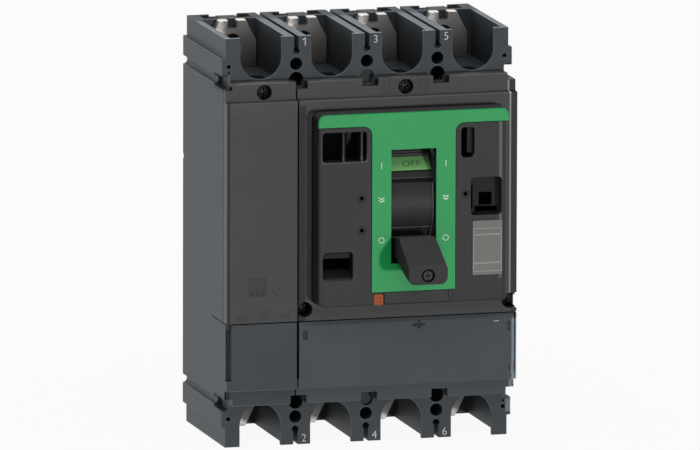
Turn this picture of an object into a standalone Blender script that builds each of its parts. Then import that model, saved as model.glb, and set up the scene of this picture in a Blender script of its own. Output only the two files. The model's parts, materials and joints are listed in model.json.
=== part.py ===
"""Four-pole switch in a moulded case: covers, toggle handle, contact bar and terminals, each a solid of its own.

Sizes are in millimetres and places are x (right), depth (forward of the mounting plane) and z (up), counted from
the middle of the mounting plane. The meshes are in metres, with +Z up and the front towards -Y.
"""

import math

import bmesh
import bpy
from mathutils import Vector

MM = 0.001

# Overall sizes
POLE_PITCH = 45.0
SIDE_MARGIN = 2.5
CASE_HEIGHT = 255.0
TERMINAL_FRONT = 95.5
REAR_EDGE = 3.3

# Fits
GAP = 0.3
RUN_GAP = 0.6
CUT_PAST = 2.0

# Case walls
SIDE_WALL = 5.0
SIDE_LIP = 0.8
UPPER_LIP_RISE = 5.0
LOWER_LIP_RISES = (9.5, 13.0)
PARTITION = 5.0
WEB_REAR = 68.0
WEB = 3.0
POCKET_DEPTH = 29.5
END_WALL = 8.0
DIVIDER = 4.0
SLIT = 0.6
SLIT_DEPTH = 72.8
EDGE_NOTCH_R = 1.6
EDGE_NOTCH_Z = 39.6

# Terminal zones, heights counted inwards from the end of the case
PARTITION_BLOCK = 13.2
POCKET_SIDE_WALL = 3.9
FLANGE = 2.5
NOTCH_HALF = 13.0
NOTCH_DROP = 13.2
BARRIER_SLOT = 2.8
BARRIER_DROP = 9.7
BARRIER_KEY_R = 2.3
BLIND_HOLE_R = 4.0
BLIND_HOLE_DROP = 17.5
BLIND_HOLE_DEPTH = 34.0
SCREW_HOLE_R = 3.4
SCREW_HEAD_R = 4.75
SCREW_HEAD_DEPTH = 55.0
SCREW_BLANK_DEPTH = 3.0
SCREW_DROP = 27.1
SCREW_NOTCH = 7.4
SCREW_NOTCH_DROP = 31.6
SCREW_NOTCH_DEPTH = 8.0
PILOT_R = 1.45
PILOT_DROP = 17.7
PILOT_EDGE = 4.7
PILOT_DEPTH = 14.0
SMALL_PILOT_R = 0.8
SMALL_PILOT_DROP = 21.5
LEDGE_INSET = 2.3
LEDGE_DROP = 12.3
GROOVE_R = 2.6
GROOVE_DROP = 27.4
GRIP_INSET = 5.0
GRIP_DEPTH = 17.5
GRIP_DROPS = (23.5, 31.1)
WELL_SIDE = 9.4
WELL_DEPTHS = (5.5, 18.5)
WELL_DROP = 19.0
WELL_MARGIN = 0.5
REAR_DIP = 1.4
REAR_DIP_HALF = 9.0
REAR_DIP_DEPTH = 9.0
FLOOR_RECESS_HALF = 10.0
FLOOR_RECESS_DEPTHS = (59.0, 73.5)
FLOOR_RECESS = 5.0

# Terminals
PAD_FRONT = 28.5
PAD_THICK = 6.0
PAD_HALF = 15.0
PAD_STEP = 0.6
PAD_TIP_HALF = 8.4
PAD_CHAMFER = 12.5
PAD_NOTCH = 5.7
PAD_NOTCH_DEEP = 4.9
PAD_HOLE_R = 5.25
PAD_HOLE_DROP = 14.0
BAR_HALF = 8.0
TIP_THICK = 1.0

# Contact bar
BAR_DEPTH = 38.0
DRUM_R = 17.0
DRUM_HALF = 12.0
NECK_R = 4.0
JOURNAL_R = 14.5
LINK_ROOM = 5.0
ARM_HALF_LONG = 30.0
ARM_THICK = 8.0
ARM_WIDE = 12.0
ARM_TIP_LONG = 8.0
ARM_TIP_RISE = 4.2
ARM_TIP_END = 1.0
ROD_R = 2.5
CRANK_R = 10.5

# Arc chutes
CHUTE_CLEAR = 34.0
CHUTE_DEPTHS_UPPER = (30.5, 66.0)
CHUTE_DEPTHS_LOWER = (8.5, 45.0)
CHUTE_CHEEK = 1.6
CHUTE_PLATES = 6
CHUTE_PLATE = 1.8
CHUTE_MOUTH_HALF = 7.0
CHUTE_MOUTH_DEEP = 12.0

# Handle and its mechanism
HANDLE_Z = 23.3
PIVOT_BACK = 40.0
SWING = 54.0
SHIELD_R = 36.0
SHIELD_THICK = 2.5
SHIELD_HALF = 13.9
SHIELD_REACH = 77.0
FLAG_ANGLES = (61.5, 76.5)
BAR_ANGLES = (53.0, 59.5)
GROOVE_ANGLES = (49.0, 52.3)
SHIELD_RELIEF = 0.9
SHIELD_GROOVE = 1.8
NECK_ANGLES = (-9.5, 3.0)
NECK_RECESS = 1.0
FLAG_HALF = 13.2
FLAG_THICK = 0.7
LEVER_HALF_ROOT = 11.4
LEVER_HALF_TIP = 12.5
LEVER_REACH = 74.8
LEVER_END_TOP = -31.9
LEVER_END_BOTTOM = -42.6
LEVER_SHOULDER = (47.5, -17.9)
LEVER_ROOT_TOP = -20.6
LEVER_ROOT_LOW = -27.0
LEVER_END_LEAN = 1.0
LEVER_EDGE = 1.4
TONGUE_HALF = 5.0
TONGUE_THICK = 5.2
TONGUE_TURN = -13.0
TONGUE_PAST = 1.5
PLUG_R = 3.9
PLUG_DEEP = 3.0
PLUG_DROP = 37.3
PLUG_SUNK = 1.0
PLUG_SLOT = 1.2
PIN_R = 3.0
TOGGLE_R = 2.0
YOKE_ARM = 2.8
YOKE_HUB_R = 6.5
YOKE_EAR_R = 5.0
YOKE_CLEAR = 6.5
YOKE_BRIDGE = 3.0
YOKE_BRIDGE_HALF = 7.0
LINK_THICK = 3.4
LINK_R = 4.3
FRAME_PLATE = 2.5
FRAME_BELOW = 38.0
FRAME_ABOVE = 38.0
FRAME_DEPTH = 31.0
FRAME_NOSE = 12.0
SPRING_COIL_R = 2.7
SPRING_WIRE_R = 0.55
SPRING_TURNS = 5
SPRING_SPREAD = 5.0

# Covers
COVER_RISE = 13.0
BAND_FALL = 4.5
COVER_SKIN = 2.5
COVER_TOP_DROP = 27.0
BAND_TOP_DROP = 38.5
BAND_SLOPE = 0.8
BLOCK_HEIGHT = 79.0
SEAM = 0.8
SEAM_X_OFF = 2.0
COVER_SCREW_R = 1.5
COVER_SCREW_HEAD_R = 3.6
COVER_SCREW_HEAD = 3.0
COVER_SCREW_LONG = 12.0
COVER_WELL_R = 4.7
COVER_WELL_WALL = 1.4
COVER_WELL_FLOOR = 2.0
WELL_RELIEF = 1.4
TOP_SCREW_DROP = 33.0
LOW_SCREW_RISE = 7.5
LOW_SCREW_IN = 4.1
RIGHT_SCREW_IN = 3.7
BOSS_HALF = 4.2

# Lower blocks
STEP_FALL = 5.9
STEP_HEIGHT = 10.4
BLOCK_DROP = 26.7
BLOCK_CHAMFER = (0.8, 2.5)
FOOT_NOTCH = 10.1
FOOT_NOTCH_DROP = 32.1
BLOCK_WALL = 3.0
OUTER_GROOVE = (2.4, 4.0)
INNER_GROOVE = (0.4, 8.0)
GROOVE_STOP_DROP = 43.5
CROSS_SIZE = 5.0
CROSS_WIDE = 8.0
CROSS_BAR = 1.2
CROSS_DEEP = 1.0
CORNER_RECESS = (3.0, 6.0)
CORNER_RECESS_IN = 3.2
CORNER_RECESS_DROP = 5.5
EDGE_SCOOP_R = 4.0
EDGE_SCOOP_DROP = 44.5

# Escutcheon
PANEL_WIDTH = 121.3
PANEL_HEIGHT = 120.0
PANEL_Z = 22.0
PANEL_RISE = 14.2
PANEL_SKIN = 2.4
PANEL_WALL = 2.5
PANEL_CORNER_R = 4.5
PANEL_EDGE = 1.4
PANEL_SIDE_ROUND = 5.5
PANEL_TAB = 3.0
TAB_LONG = 40.0
FASCIA_THICK = 1.2
FASCIA_PROUD = 0.3
FASCIA_BAND = 8.0
FASCIA_HALF = 26.6
FASCIA_FOOT = 8.4
FASCIA_CORNER_R = 5.5
FASCIA_EDGE = 0.6
SLOT_HALF = 14.3
SLOT_LOW = -35.5
SLOT_HIGH = 35.5
STRIP_HALF = 21.5
STRIP_X_OFF = 3.1
STRIP_HEIGHT = 6.9
STRIP_LOW = 1.1
LABEL_SIZE = (19.0, 34.0)
LABEL_RIGHT = 4.0
LABEL_LOW = 16.3
PLATE_THICK = 0.6
BUTTON_SIZE = (6.2, 6.7)
BUTTON_X_OFF = -22.2
BUTTON_LOW = 0.5
BUTTON_LONG = 33.0
BUTTON_PROUD = 0.3
BUTTON_EDGE = 0.5
BUTTON_SPRING_R = 2.0

# Windows of the escutcheon: left, right, low, high, counted from its middle line and its lower edge
WINDOWS = (
    (-58.0, -45.0, 90.2, 109.0),
    (-44.0, -33.5, 90.2, 109.0),
    (-32.3, -29.8, 90.2, 109.0),
    (-57.7, -38.5, 16.6, 34.2),
    (30.2, 38.7, 89.9, 108.8),
)
WINDOW_CORNER_R = 2.0
WINDOW_SQUARE = ("right", "left right", "left", "", "")
BAR_SUNK = 0.8
BAR_FOOT = 0.6
COLLAR_DEEP = 9.0
COLLAR_WALL = 1.2
RAMP_RISE = 6.5
RAMP_LIP = 3.0
RAIL_HEIGHT = 3.2
RAIL_DROP = 1.8
RAIL_DEPTHS = (4.5, 7.0)
STOP_SHARE = 0.45
STOP_DEPTH = 4.0
CATCH_POCKET = (36.5, 56.3, 53.7, 77.3)
CATCH_DEEP = 8.0
CATCH_HOLE = (43.8, 51.8, 58.7, 66.5)
CATCH_SLOT = (37.6, 39.6, 56.5, 71.0)
CATCH_GAP = (41.0, 55.4, 54.6, 58.0)
SIGHT_HOLES = ((-33.0, 67.3), (-33.0, 47.3), (33.0, 67.4))
SIGHT_HOLE_R = 1.2

# Rear plate
REAR_PLATE = 6.0
REAR_PLATE_IN = 4.0
SADDLE_DEPTH = 30.0

# Facets of round shapes
ROUND = 16
PLAIN = 12
SMALL = 8

# Sizes that follow from the ones above
POLE_COUNT = 4
CASE_HALF = POLE_COUNT * POLE_PITCH / 2 + SIDE_MARGIN
END = CASE_HEIGHT / 2
POLE_X = [(i - (POLE_COUNT - 1) / 2) * POLE_PITCH for i in range(POLE_COUNT)]
PARTITION_X = [(i - (POLE_COUNT - 2) / 2) * POLE_PITCH for i in range(POLE_COUNT - 1)]
UPPER_NAMES = ("n", "1", "3", "5")
LOWER_NAMES = ("n", "2", "4", "6")
MAIN_X = (POLE_X[1] + POLE_X[3]) / 2
WEB_FRONT = WEB_REAR + WEB
POCKET_FLOOR = END - POCKET_DEPTH
CHAMBER_END = POCKET_FLOOR - END_WALL
CHAMBER_HALF = (POLE_PITCH - PARTITION) / 2
COVER_FRONT = TERMINAL_FRONT + COVER_RISE
BAND_FRONT = COVER_FRONT - BAND_FALL
COVER_BACK = TERMINAL_FRONT + GAP
COVER_TOP = END - COVER_TOP_DROP
BLOCK_TOP = BLOCK_HEIGHT - END
SEAM_X = PARTITION_X[0] - SEAM_X_OFF
INNER_SIDE = CASE_HALF - SIDE_LIP - GAP
PANEL_FRONT = COVER_FRONT + PANEL_RISE
PANEL_BACK = PANEL_FRONT - PANEL_SKIN
PANEL_LOW = PANEL_Z - PANEL_HEIGHT / 2
PANEL_HIGH = PANEL_Z + PANEL_HEIGHT / 2
PANEL_LEFT = MAIN_X - PANEL_WIDTH / 2
PANEL_RIGHT = MAIN_X + PANEL_WIDTH / 2
PIVOT = (PANEL_FRONT - PIVOT_BACK, HANDLE_Z)
BAR = (BAR_DEPTH, 0.0)
REST_TILT = -SWING / 2
YOKE_REACH = SHIELD_R - SHIELD_THICK - YOKE_CLEAR
LINK_ANGLE = math.degrees(math.atan2(PIVOT[1] - BAR[1], PIVOT[0] - BAR[0]))
CRANK_ANGLE = LINK_ANGLE + 90 + REST_TILT
ARM_ANGLE = 90 - SWING
TERMINAL_BACK = PAD_FRONT - PAD_THICK
NECK_FRONT = PAD_FRONT - PAD_STEP


def place(x, depth, z):
    """World position in metres of a point given as x, depth and z in millimetres."""
    return Vector((x, -depth, z)) * MM


def front_spot(u, v, along):
    """An outline drawn in x and z, carried along the depth."""
    return place(u, along, v)


def side_spot(u, v, along):
    """An outline drawn in depth and z, carried along x."""
    return place(along, u, v)


def top_spot(u, v, along):
    """An outline drawn in x and depth, carried along z."""
    return place(u, v, along)


def mesh_of(sheet):
    """Mesh of a bmesh, with its faces turned outwards."""
    bmesh.ops.recalc_face_normals(sheet, faces=sheet.faces)
    mesh = bpy.data.meshes.new("form")
    sheet.to_mesh(mesh)
    sheet.free()
    return mesh


def loft(first, second):
    """Closed solid between two rings of equally many points."""
    sheet = bmesh.new()
    low = [sheet.verts.new(point) for point in first]
    high = [sheet.verts.new(point) for point in second]
    sheet.faces.new(low)
    sheet.faces.new(high)
    for i in range(len(low)):
        sheet.faces.new((low[i - 1], low[i], high[i], high[i - 1]))
    return mesh_of(sheet)


def prism(outline, span, spot):
    """Straight prism of an outline over a span of the third direction."""
    first = [spot(u, v, span[0]) for u, v in outline]
    second = [spot(u, v, span[1]) for u, v in outline]
    return loft(first, second)


def rectangle(left, right, low, high):
    """Corner points of a rectangle."""
    return [(left, low), (right, low), (right, high), (left, high)]


def arc(centre, radius, start, stop, steps):
    """Points of an arc, with both ends, angles in degrees."""
    angles = [math.radians(start + (stop - start) * i / steps) for i in range(steps + 1)]
    return [(centre[0] + radius * math.cos(a), centre[1] + radius * math.sin(a)) for a in angles]


def circle(centre, radius, sides):
    """Points of a full circle."""
    return arc(centre, radius, 0, 360, sides)[:-1]


def rounded_rectangle(left, right, low, high, radius, steps, square=""):
    """Rectangle with round corners, apart from those on its square sides."""
    points = []
    corners = ((right, low, -90), (right, high, 0), (left, high, 90), (left, low, 180))
    for x, z, start in corners:
        if ("left" if x == left else "right") in square:
            points.append((x, z))
            continue
        centre = (min(max(x, left + radius), right - radius), min(max(z, low + radius), high - radius))
        points += arc(centre, radius, start, start + 90, steps)
    return points


def turned(point, centre, degrees):
    """A 2-D point turned about a centre."""
    angle = math.radians(degrees)
    u = point[0] - centre[0]
    v = point[1] - centre[1]
    return (
        centre[0] + u * math.cos(angle) - v * math.sin(angle),
        centre[1] + u * math.sin(angle) + v * math.cos(angle),
    )


def polar(centre, radius, degrees):
    """The point at a radius and an angle from a centre."""
    return turned((centre[0] + radius, centre[1]), centre, degrees)


def wrapped(points):
    """Convex outline round a set of points."""
    ordered = sorted(set(points))

    def chain(run):
        kept = []
        for p in run:
            while len(kept) > 1:
                (ax, ay), (bx, by) = kept[-2], kept[-1]
                if (bx - ax) * (p[1] - ay) - (by - ay) * (p[0] - ax) > 0:
                    break
                kept.pop()
            kept.append(p)
        return kept[:-1]

    return chain(ordered) + chain(ordered[::-1])


def block(x_span, depth_span, z_span):
    """Rectangular block."""
    return prism(rectangle(x_span[0], x_span[1], z_span[0], z_span[1]), depth_span, front_spot)


def front_rod(x, z, radius, depth_span, sides):
    """Round bar from back to front."""
    return prism(circle((x, z), radius, sides), depth_span, front_spot)


def cross_rod(centre, radius, x_span, sides):
    """Round bar along x."""
    return prism(circle(centre, radius, sides), x_span, side_spot)


def combine(mesh, tools, operation):
    """The mesh after a Boolean with all the tool meshes at once."""
    group = bpy.data.collections.new("tools")
    bpy.context.scene.collection.children.link(group)
    body = bpy.data.objects.new("body", mesh)
    bpy.context.scene.collection.objects.link(body)
    for tool in tools:
        group.objects.link(bpy.data.objects.new("tool", tool))
    step = body.modifiers.new("combine", "BOOLEAN")
    step.operation = operation
    step.solver = "EXACT"
    step.operand_type = "COLLECTION"
    step.collection = group
    view = bpy.context.evaluated_depsgraph_get()
    result = bpy.data.meshes.new_from_object(body.evaluated_get(view))
    for helper in list(group.objects) + [body]:
        bpy.data.objects.remove(helper)
    bpy.data.collections.remove(group)
    return result


def flattened(mesh):
    """The mesh with the seams that Booleans leave across flat faces taken out."""
    sheet = bmesh.new()
    sheet.from_mesh(mesh)
    flat = math.radians(0.1)
    bmesh.ops.dissolve_limit(sheet, angle_limit=flat, verts=sheet.verts, edges=sheet.edges)
    return mesh_of(sheet)


def cut(mesh, *tools):
    """The mesh with the tools taken away."""
    return combine(mesh, tools, "DIFFERENCE")


def join(mesh, *tools):
    """The mesh with the tools added."""
    return combine(mesh, tools, "UNION")


def soften(mesh, width, steps, chosen):
    """Rounds each edge whose two ends, as x, depth and z in millimetres, the chooser accepts."""
    sheet = bmesh.new()
    sheet.from_mesh(mesh)
    bmesh.ops.dissolve_limit(sheet, angle_limit=math.radians(1), verts=sheet.verts, edges=sheet.edges)

    def spot(vert):
        return (vert.co.x / MM, -vert.co.y / MM, vert.co.z / MM)

    edges = [e for e in sheet.edges if e.calc_face_angle(0) > 0.5 and chosen(spot(e.verts[0]), spot(e.verts[1]))]
    bmesh.ops.bevel(
        sheet, geom=edges, offset=width * MM, offset_type="OFFSET", segments=steps, profile=0.5, affect="EDGES"
    )
    return mesh_of(sheet)


def coil(start, finish, radius, wire, turns):
    """Helical spring between two points, one closed tube with flat ends."""
    per_turn = 8
    sides = 4
    axis = (finish - start).normalized()
    across = axis.orthogonal().normalized()
    side = axis.cross(across)
    sheet = bmesh.new()
    rings = []
    for i in range(turns * per_turn + 1):
        angle = 2 * math.pi * i / per_turn
        out = across * math.cos(angle) + side * math.sin(angle)
        middle = start.lerp(finish, i / (turns * per_turn)) + out * radius
        ring = []
        for k in range(sides):
            around = 2 * math.pi * k / sides
            ring.append(sheet.verts.new(middle + out * wire * math.cos(around) + axis * wire * math.sin(around)))
        rings.append(ring)
    for low, high in zip(rings, rings[1:]):
        for k in range(sides):
            sheet.faces.new((low[k - 1], low[k], high[k], high[k - 1]))
    sheet.faces.new(rings[0])
    sheet.faces.new(rings[-1])
    return mesh_of(sheet)


def piece(name, mesh, finish, origin=None):
    """A named object with its own material and, for a moving piece, its origin on the joint's axis."""
    colour, roughness, metallic = finish
    mesh = flattened(mesh)
    mesh.name = name
    obj = bpy.data.objects.new(name, mesh)
    bpy.context.scene.collection.objects.link(obj)
    material = bpy.data.materials.new(name)
    material.use_nodes = True
    shader = material.node_tree.nodes["Principled BSDF"]
    shader.inputs["Base Color"].default_value = (*colour, 1)
    shader.inputs["Roughness"].default_value = roughness
    shader.inputs["Metallic"].default_value = metallic
    mesh.materials.clear()
    mesh.materials.append(material)
    mesh.shade_smooth()
    mesh.set_sharp_from_angle(angle=math.radians(30))
    if origin is not None:
        for vertex in mesh.vertices:
            vertex.co -= origin
        obj.location = origin
    return obj


SLATE = ((0.075, 0.085, 0.09), 0.55, 0)
SMOKED = ((0.05, 0.05, 0.05), 0.3, 0)
CHARCOAL = ((0.045, 0.045, 0.047), 0.5, 0)
GREEN = ((0.06, 0.34, 0.11), 0.5, 0)
ORANGE = ((0.5, 0.14, 0.06), 0.5, 0)
LABEL_GREY = ((0.14, 0.14, 0.12), 0.6, 0)
TINNED = ((0.6, 0.58, 0.55), 0.35, 1)
COPPER = ((0.6, 0.28, 0.14), 0.4, 1)
STEEL = ((0.5, 0.5, 0.5), 0.35, 1)
ROTOR_RED = ((0.3, 0.08, 0.05), 0.6, 0)


def ends(end, near, far):
    """Span in z between two heights of one end of the case, +1 for the upper and -1 for the lower end."""
    return sorted((end * near, end * far))


def pocket_span(i):
    """Span in x of the terminal pocket of pole i, wider on the outer side of the end poles."""
    half = (POLE_PITCH - PARTITION_BLOCK) / 2
    left = POLE_X[i] - half
    right = POLE_X[i] + half
    outer = CASE_HALF - LEDGE_INSET - POCKET_SIDE_WALL
    if i == 0:
        left = -outer
    if i == POLE_COUNT - 1:
        right = outer
    return left, right


def terminal_cuts(end):
    """Cutters of one terminal zone: pockets, mouths, barrier slots, holes and the side grooves."""
    past = END + CUT_PAST
    through = (REAR_EDGE - CUT_PAST, TERMINAL_FRONT + CUT_PAST)
    front = TERMINAL_FRONT + CUT_PAST
    flange_back = TERMINAL_FRONT - FLANGE
    tools = []
    for i, x in enumerate(POLE_X):
        tools.append(block(pocket_span(i), (TERMINAL_BACK - GAP, flange_back), ends(end, POCKET_FLOOR, past)))
        centre = (x, END - NOTCH_DROP)
        mouth = arc(centre, NOTCH_HALF, 180, 360, ROUND) + [(x + NOTCH_HALF, past), (x - NOTCH_HALF, past)]
        mouth = [(u, end * v) for u, v in mouth]
        tools.append(prism(mouth, (flange_back - CUT_PAST, front), front_spot))
        passage = (x - PAD_HALF - GAP, x + PAD_HALF + GAP)
        depths = (TERMINAL_BACK - GAP, PAD_FRONT + GAP)
        tools.append(block(passage, depths, ends(end, CHAMBER_END - CUT_PAST, POCKET_FLOOR + CUT_PAST)))
        recess = (x - FLOOR_RECESS_HALF, x + FLOOR_RECESS_HALF)
        tools.append(block(recess, FLOOR_RECESS_DEPTHS, ends(end, POCKET_FLOOR - FLOOR_RECESS, POCKET_FLOOR + CUT_PAST)))
        half = (POLE_PITCH - PARTITION_BLOCK) / 2 - WELL_MARGIN
        for span in ((x - half, x - half + WELL_SIDE), (x + half - WELL_SIDE, x + half)):
            tools.append(block(span, WELL_DEPTHS, ends(end, END - WELL_DROP, past)))
        dip = (x - REAR_DIP_HALF, x + REAR_DIP_HALF)
        tools.append(block(dip, (through[0], REAR_DIP_DEPTH), ends(end, END - REAR_DIP, past)))
    for i, x in enumerate(PARTITION_X):
        slot = (x - BARRIER_SLOT / 2, x + BARRIER_SLOT / 2)
        key_z = END - BARRIER_DROP
        tools.append(block(slot, through, ends(end, key_z, past)))
        tools.append(front_rod(x, end * key_z, BARRIER_KEY_R, through, SMALL))
        hole = (TERMINAL_FRONT - BLIND_HOLE_DEPTH, front)
        tools.append(front_rod(x, end * (END - BLIND_HOLE_DROP), BLIND_HOLE_R, hole, ROUND))
        screw_z = END - SCREW_DROP
        open_hole = i != 1
        if open_hole:
            tools.append(front_rod(x, end * screw_z, SCREW_HOLE_R, through, SMALL))
        head_depth = SCREW_HEAD_DEPTH if open_hole else SCREW_BLANK_DEPTH
        head = (TERMINAL_FRONT - head_depth, front)
        tools.append(front_rod(x, end * screw_z, SCREW_HEAD_R, head, ROUND))
        notch = (x - SCREW_NOTCH / 2, x + SCREW_NOTCH / 2)
        depths = (TERMINAL_FRONT - min(SCREW_NOTCH_DEPTH, head_depth), front)
        tools.append(block(notch, depths, ends(end, END - SCREW_NOTCH_DROP, screw_z)))
    for side in (-1, 1):
        outside = CASE_HALF + CUT_PAST
        shoulder = sorted((side * (CASE_HALF - LEDGE_INSET), side * outside))
        tools.append(block(shoulder, through, ends(end, END - LEDGE_DROP, past)))
        tools.append(front_rod(side * CASE_HALF, end * (END - GROOVE_DROP), GROOVE_R, through, ROUND))
        grip = sorted((side * (CASE_HALF - GRIP_INSET), side * outside))
        heights = ends(end, END - GRIP_DROPS[0], END - GRIP_DROPS[1])
        tools.append(block(grip, (TERMINAL_FRONT - GRIP_DEPTH, COVER_FRONT + CUT_PAST), heights))
        pilot = (TERMINAL_FRONT - PILOT_DEPTH, front)
        x = side * (CASE_HALF - PILOT_EDGE)
        tools.append(front_rod(x, end * (END - PILOT_DROP), PILOT_R, pilot, SMALL))
        if side * end < 0:
            tools.append(front_rod(x, end * (END - SMALL_PILOT_DROP), SMALL_PILOT_R, pilot, SMALL))
    return tools


def bearing_outline(radius):
    """Slot open to the rear that ends round the axis of the contact bar."""
    return arc(BAR, radius, -90, 90, ROUND) + [(-CUT_PAST, BAR[1] + radius), (-CUT_PAST, BAR[1] - radius)]


def cover_screw_places():
    """The four cover screws: x and z."""
    top = END - TOP_SCREW_DROP
    low = BLOCK_TOP + LOW_SCREW_RISE
    seam_side = SEAM_X + SEAM / 2 + LOW_SCREW_IN
    return ((POLE_X[0], top), (MAIN_X, top), (seam_side, low), (INNER_SIDE - RIGHT_SCREW_IN, low))


def lip_outline(low_front):
    """Thin front edge of a side wall in depth and z: flush with the foot of the lower block, lower beside the covers."""
    back = TERMINAL_FRONT - CUT_PAST
    foot = BLOCK_DROP - END
    stop = GROOVE_STOP_DROP - END
    upper = TERMINAL_FRONT + UPPER_LIP_RISE
    points = [
        (back, foot),
        (COVER_FRONT - STEP_FALL, foot),
        (COVER_FRONT - STEP_FALL, foot + STEP_HEIGHT),
        (COVER_FRONT, foot + STEP_HEIGHT),
        (COVER_FRONT, stop),
    ]
    if low_front < COVER_FRONT:
        points.append((low_front, stop))
    return points + [(low_front, BLOCK_TOP), (upper, BLOCK_TOP), (upper, COVER_TOP), (back, COVER_TOP)]


def make_case():
    """The deep moulding: four pole chambers open to the rear, a web, a front chamber and the terminal zones."""
    body = block((-CASE_HALF, CASE_HALF), (REAR_EDGE, TERMINAL_FRONT), (-END, END))
    lips = []
    for side, rise in zip((-1, 1), LOWER_LIP_RISES):
        span = sorted((side * (CASE_HALF - SIDE_LIP), side * CASE_HALF))
        lips.append(prism(lip_outline(TERMINAL_FRONT + rise), span, side_spot))
    body = join(body, *lips)
    tools = terminal_cuts(1) + terminal_cuts(-1)
    rear = REAR_EDGE - CUT_PAST
    plate_half = CASE_HALF - REAR_PLATE_IN
    plate_end = CHAMBER_END + CUT_PAST
    tools.append(block((-plate_half, plate_half), (rear, REAR_PLATE + GAP), (-plate_end, plate_end)))
    for x in POLE_X:
        tools.append(block((x - CHAMBER_HALF, x + CHAMBER_HALF), (rear, WEB_REAR), (-CHAMBER_END, CHAMBER_END)))
    inside = CASE_HALF - SIDE_WALL
    divider = (SEAM_X - DIVIDER / 2, SEAM_X + DIVIDER / 2)
    depths = (WEB_FRONT, TERMINAL_FRONT + CUT_PAST)
    heights = (-CHAMBER_END - END_WALL / 2, CHAMBER_END)
    tools.append(block((-inside, divider[0]), depths, heights))
    tools.append(block((divider[1], inside), depths, heights))
    journal = CASE_HALF - SIDE_WALL / 2
    tools.append(prism(bearing_outline(JOURNAL_R + GAP), (-journal, journal), side_spot))
    crank = polar(BAR, CRANK_R, CRANK_ANGLE)
    slot_z = crank[1] + (WEB_REAR - crank[0]) * math.tan(math.radians(LINK_ANGLE))
    slot_half = DRUM_HALF + LINK_ROOM + RUN_GAP
    web_slot = (slot_z - 2 * LINK_R, slot_z + 2 * LINK_R)
    tools.append(block((MAIN_X - slot_half, MAIN_X + slot_half), (WEB_REAR - CUT_PAST, WEB_FRONT + CUT_PAST), web_slot))
    for side in (-1, 1):
        wall = sorted((side * (inside - CUT_PAST), side * (CASE_HALF + CUT_PAST)))
        tools.append(block(wall, (SLIT_DEPTH, COVER_FRONT + CUT_PAST), (BLOCK_TOP - SLIT / 2, BLOCK_TOP + SLIT / 2)))
        skin = sorted((side * (CASE_HALF - LEDGE_INSET), side * (CASE_HALF + CUT_PAST)))
        tools.append(cross_rod((REAR_EDGE, EDGE_NOTCH_Z), EDGE_NOTCH_R, skin, SMALL))
    body = cut(body, *tools)
    bosses = []
    for x, z in cover_screw_places()[2:]:
        span = (max(x - BOSS_HALF, SEAM_X), min(x + BOSS_HALF, inside + CUT_PAST))
        bosses.append(block(span, (WEB_FRONT - CUT_PAST / 2, TERMINAL_FRONT), (z - BOSS_HALF, z + BOSS_HALF)))
    body = join(body, *bosses)
    holes = []
    for x, z in cover_screw_places():
        depth = TERMINAL_FRONT - COVER_SCREW_LONG - CUT_PAST
        holes.append(front_rod(x, z, COVER_SCREW_R + GAP, (depth, TERMINAL_FRONT + CUT_PAST), SMALL))
    return cut(body, *holes)


def make_rear_plate():
    """Plate that closes the pole chambers, with a saddle behind each journal of the contact bar."""
    half = CASE_HALF - REAR_PLATE_IN - GAP
    high = CHAMBER_END + CUT_PAST - GAP
    plate = block((-half, half), (0, REAR_PLATE), (-high, high))
    saddles = []
    for x in PARTITION_X:
        span = (x - PARTITION / 2 + GAP, x + PARTITION / 2 - GAP)
        rib = block(span, (REAR_PLATE - GAP, SADDLE_DEPTH), (BAR[1] - JOURNAL_R, BAR[1] + JOURNAL_R))
        saddles.append(cut(rib, cross_rod(BAR, JOURNAL_R + GAP, (span[0] - CUT_PAST, span[1] + CUT_PAST), ROUND)))
    return join(plate, *saddles)


def terminal_plate(x, end):
    """Terminal pad with a chamfered, notched end and a bolt hole, on a thinner neck that goes through the end wall."""
    shoulder = END - PAD_CHAMFER
    inner = POCKET_FLOOR + GAP
    outline = [
        (x - PAD_HALF, end * inner),
        (x + PAD_HALF, end * inner),
        (x + PAD_HALF, end * shoulder),
        (x + PAD_TIP_HALF, end * END),
        (x + PAD_NOTCH / 2, end * END),
        (x + PAD_NOTCH / 2, end * (END - PAD_NOTCH_DEEP)),
        (x - PAD_NOTCH / 2, end * (END - PAD_NOTCH_DEEP)),
        (x - PAD_NOTCH / 2, end * END),
        (x - PAD_TIP_HALF, end * END),
        (x - PAD_HALF, end * shoulder),
    ]
    plate = prism(outline, (TERMINAL_BACK, PAD_FRONT), front_spot)
    span = (x - PAD_HALF, x + PAD_HALF)
    neck = block(span, (TERMINAL_BACK, NECK_FRONT), ends(end, CHAMBER_END, inner + CUT_PAST))
    hole = (TERMINAL_BACK - CUT_PAST, PAD_FRONT + CUT_PAST)
    return cut(join(plate, neck), front_rod(x, end * (END - PAD_HOLE_DROP), PAD_HOLE_R, hole, ROUND))


def contact_reach():
    """Distance from the bar's axis to the face of a closed contact, and the span of the contact along the arm."""
    outer = ARM_HALF_LONG - ARM_TIP_END
    return ARM_THICK / 2 + ARM_TIP_RISE + GAP, (outer - ARM_TIP_LONG, outer)


def make_upper_terminal(x):
    """Terminal that runs straight down behind the contact arm and ends in a fixed contact."""
    face, (near, far) = contact_reach()
    plate = terminal_plate(x, 1)
    span = (x - BAR_HALF, x + BAR_HALF)
    bar = block(span, (TERMINAL_BACK, NECK_FRONT), (BAR[1] + near - 1, CHAMBER_END + CUT_PAST))
    tip = (BAR[0] - face - PAD_THICK / 2, BAR[0] - face)
    half = ARM_WIDE / 2
    contact = block((x - half, x + half), tip, (BAR[1] + near, BAR[1] + far))
    return join(plate, bar, contact)


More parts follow.
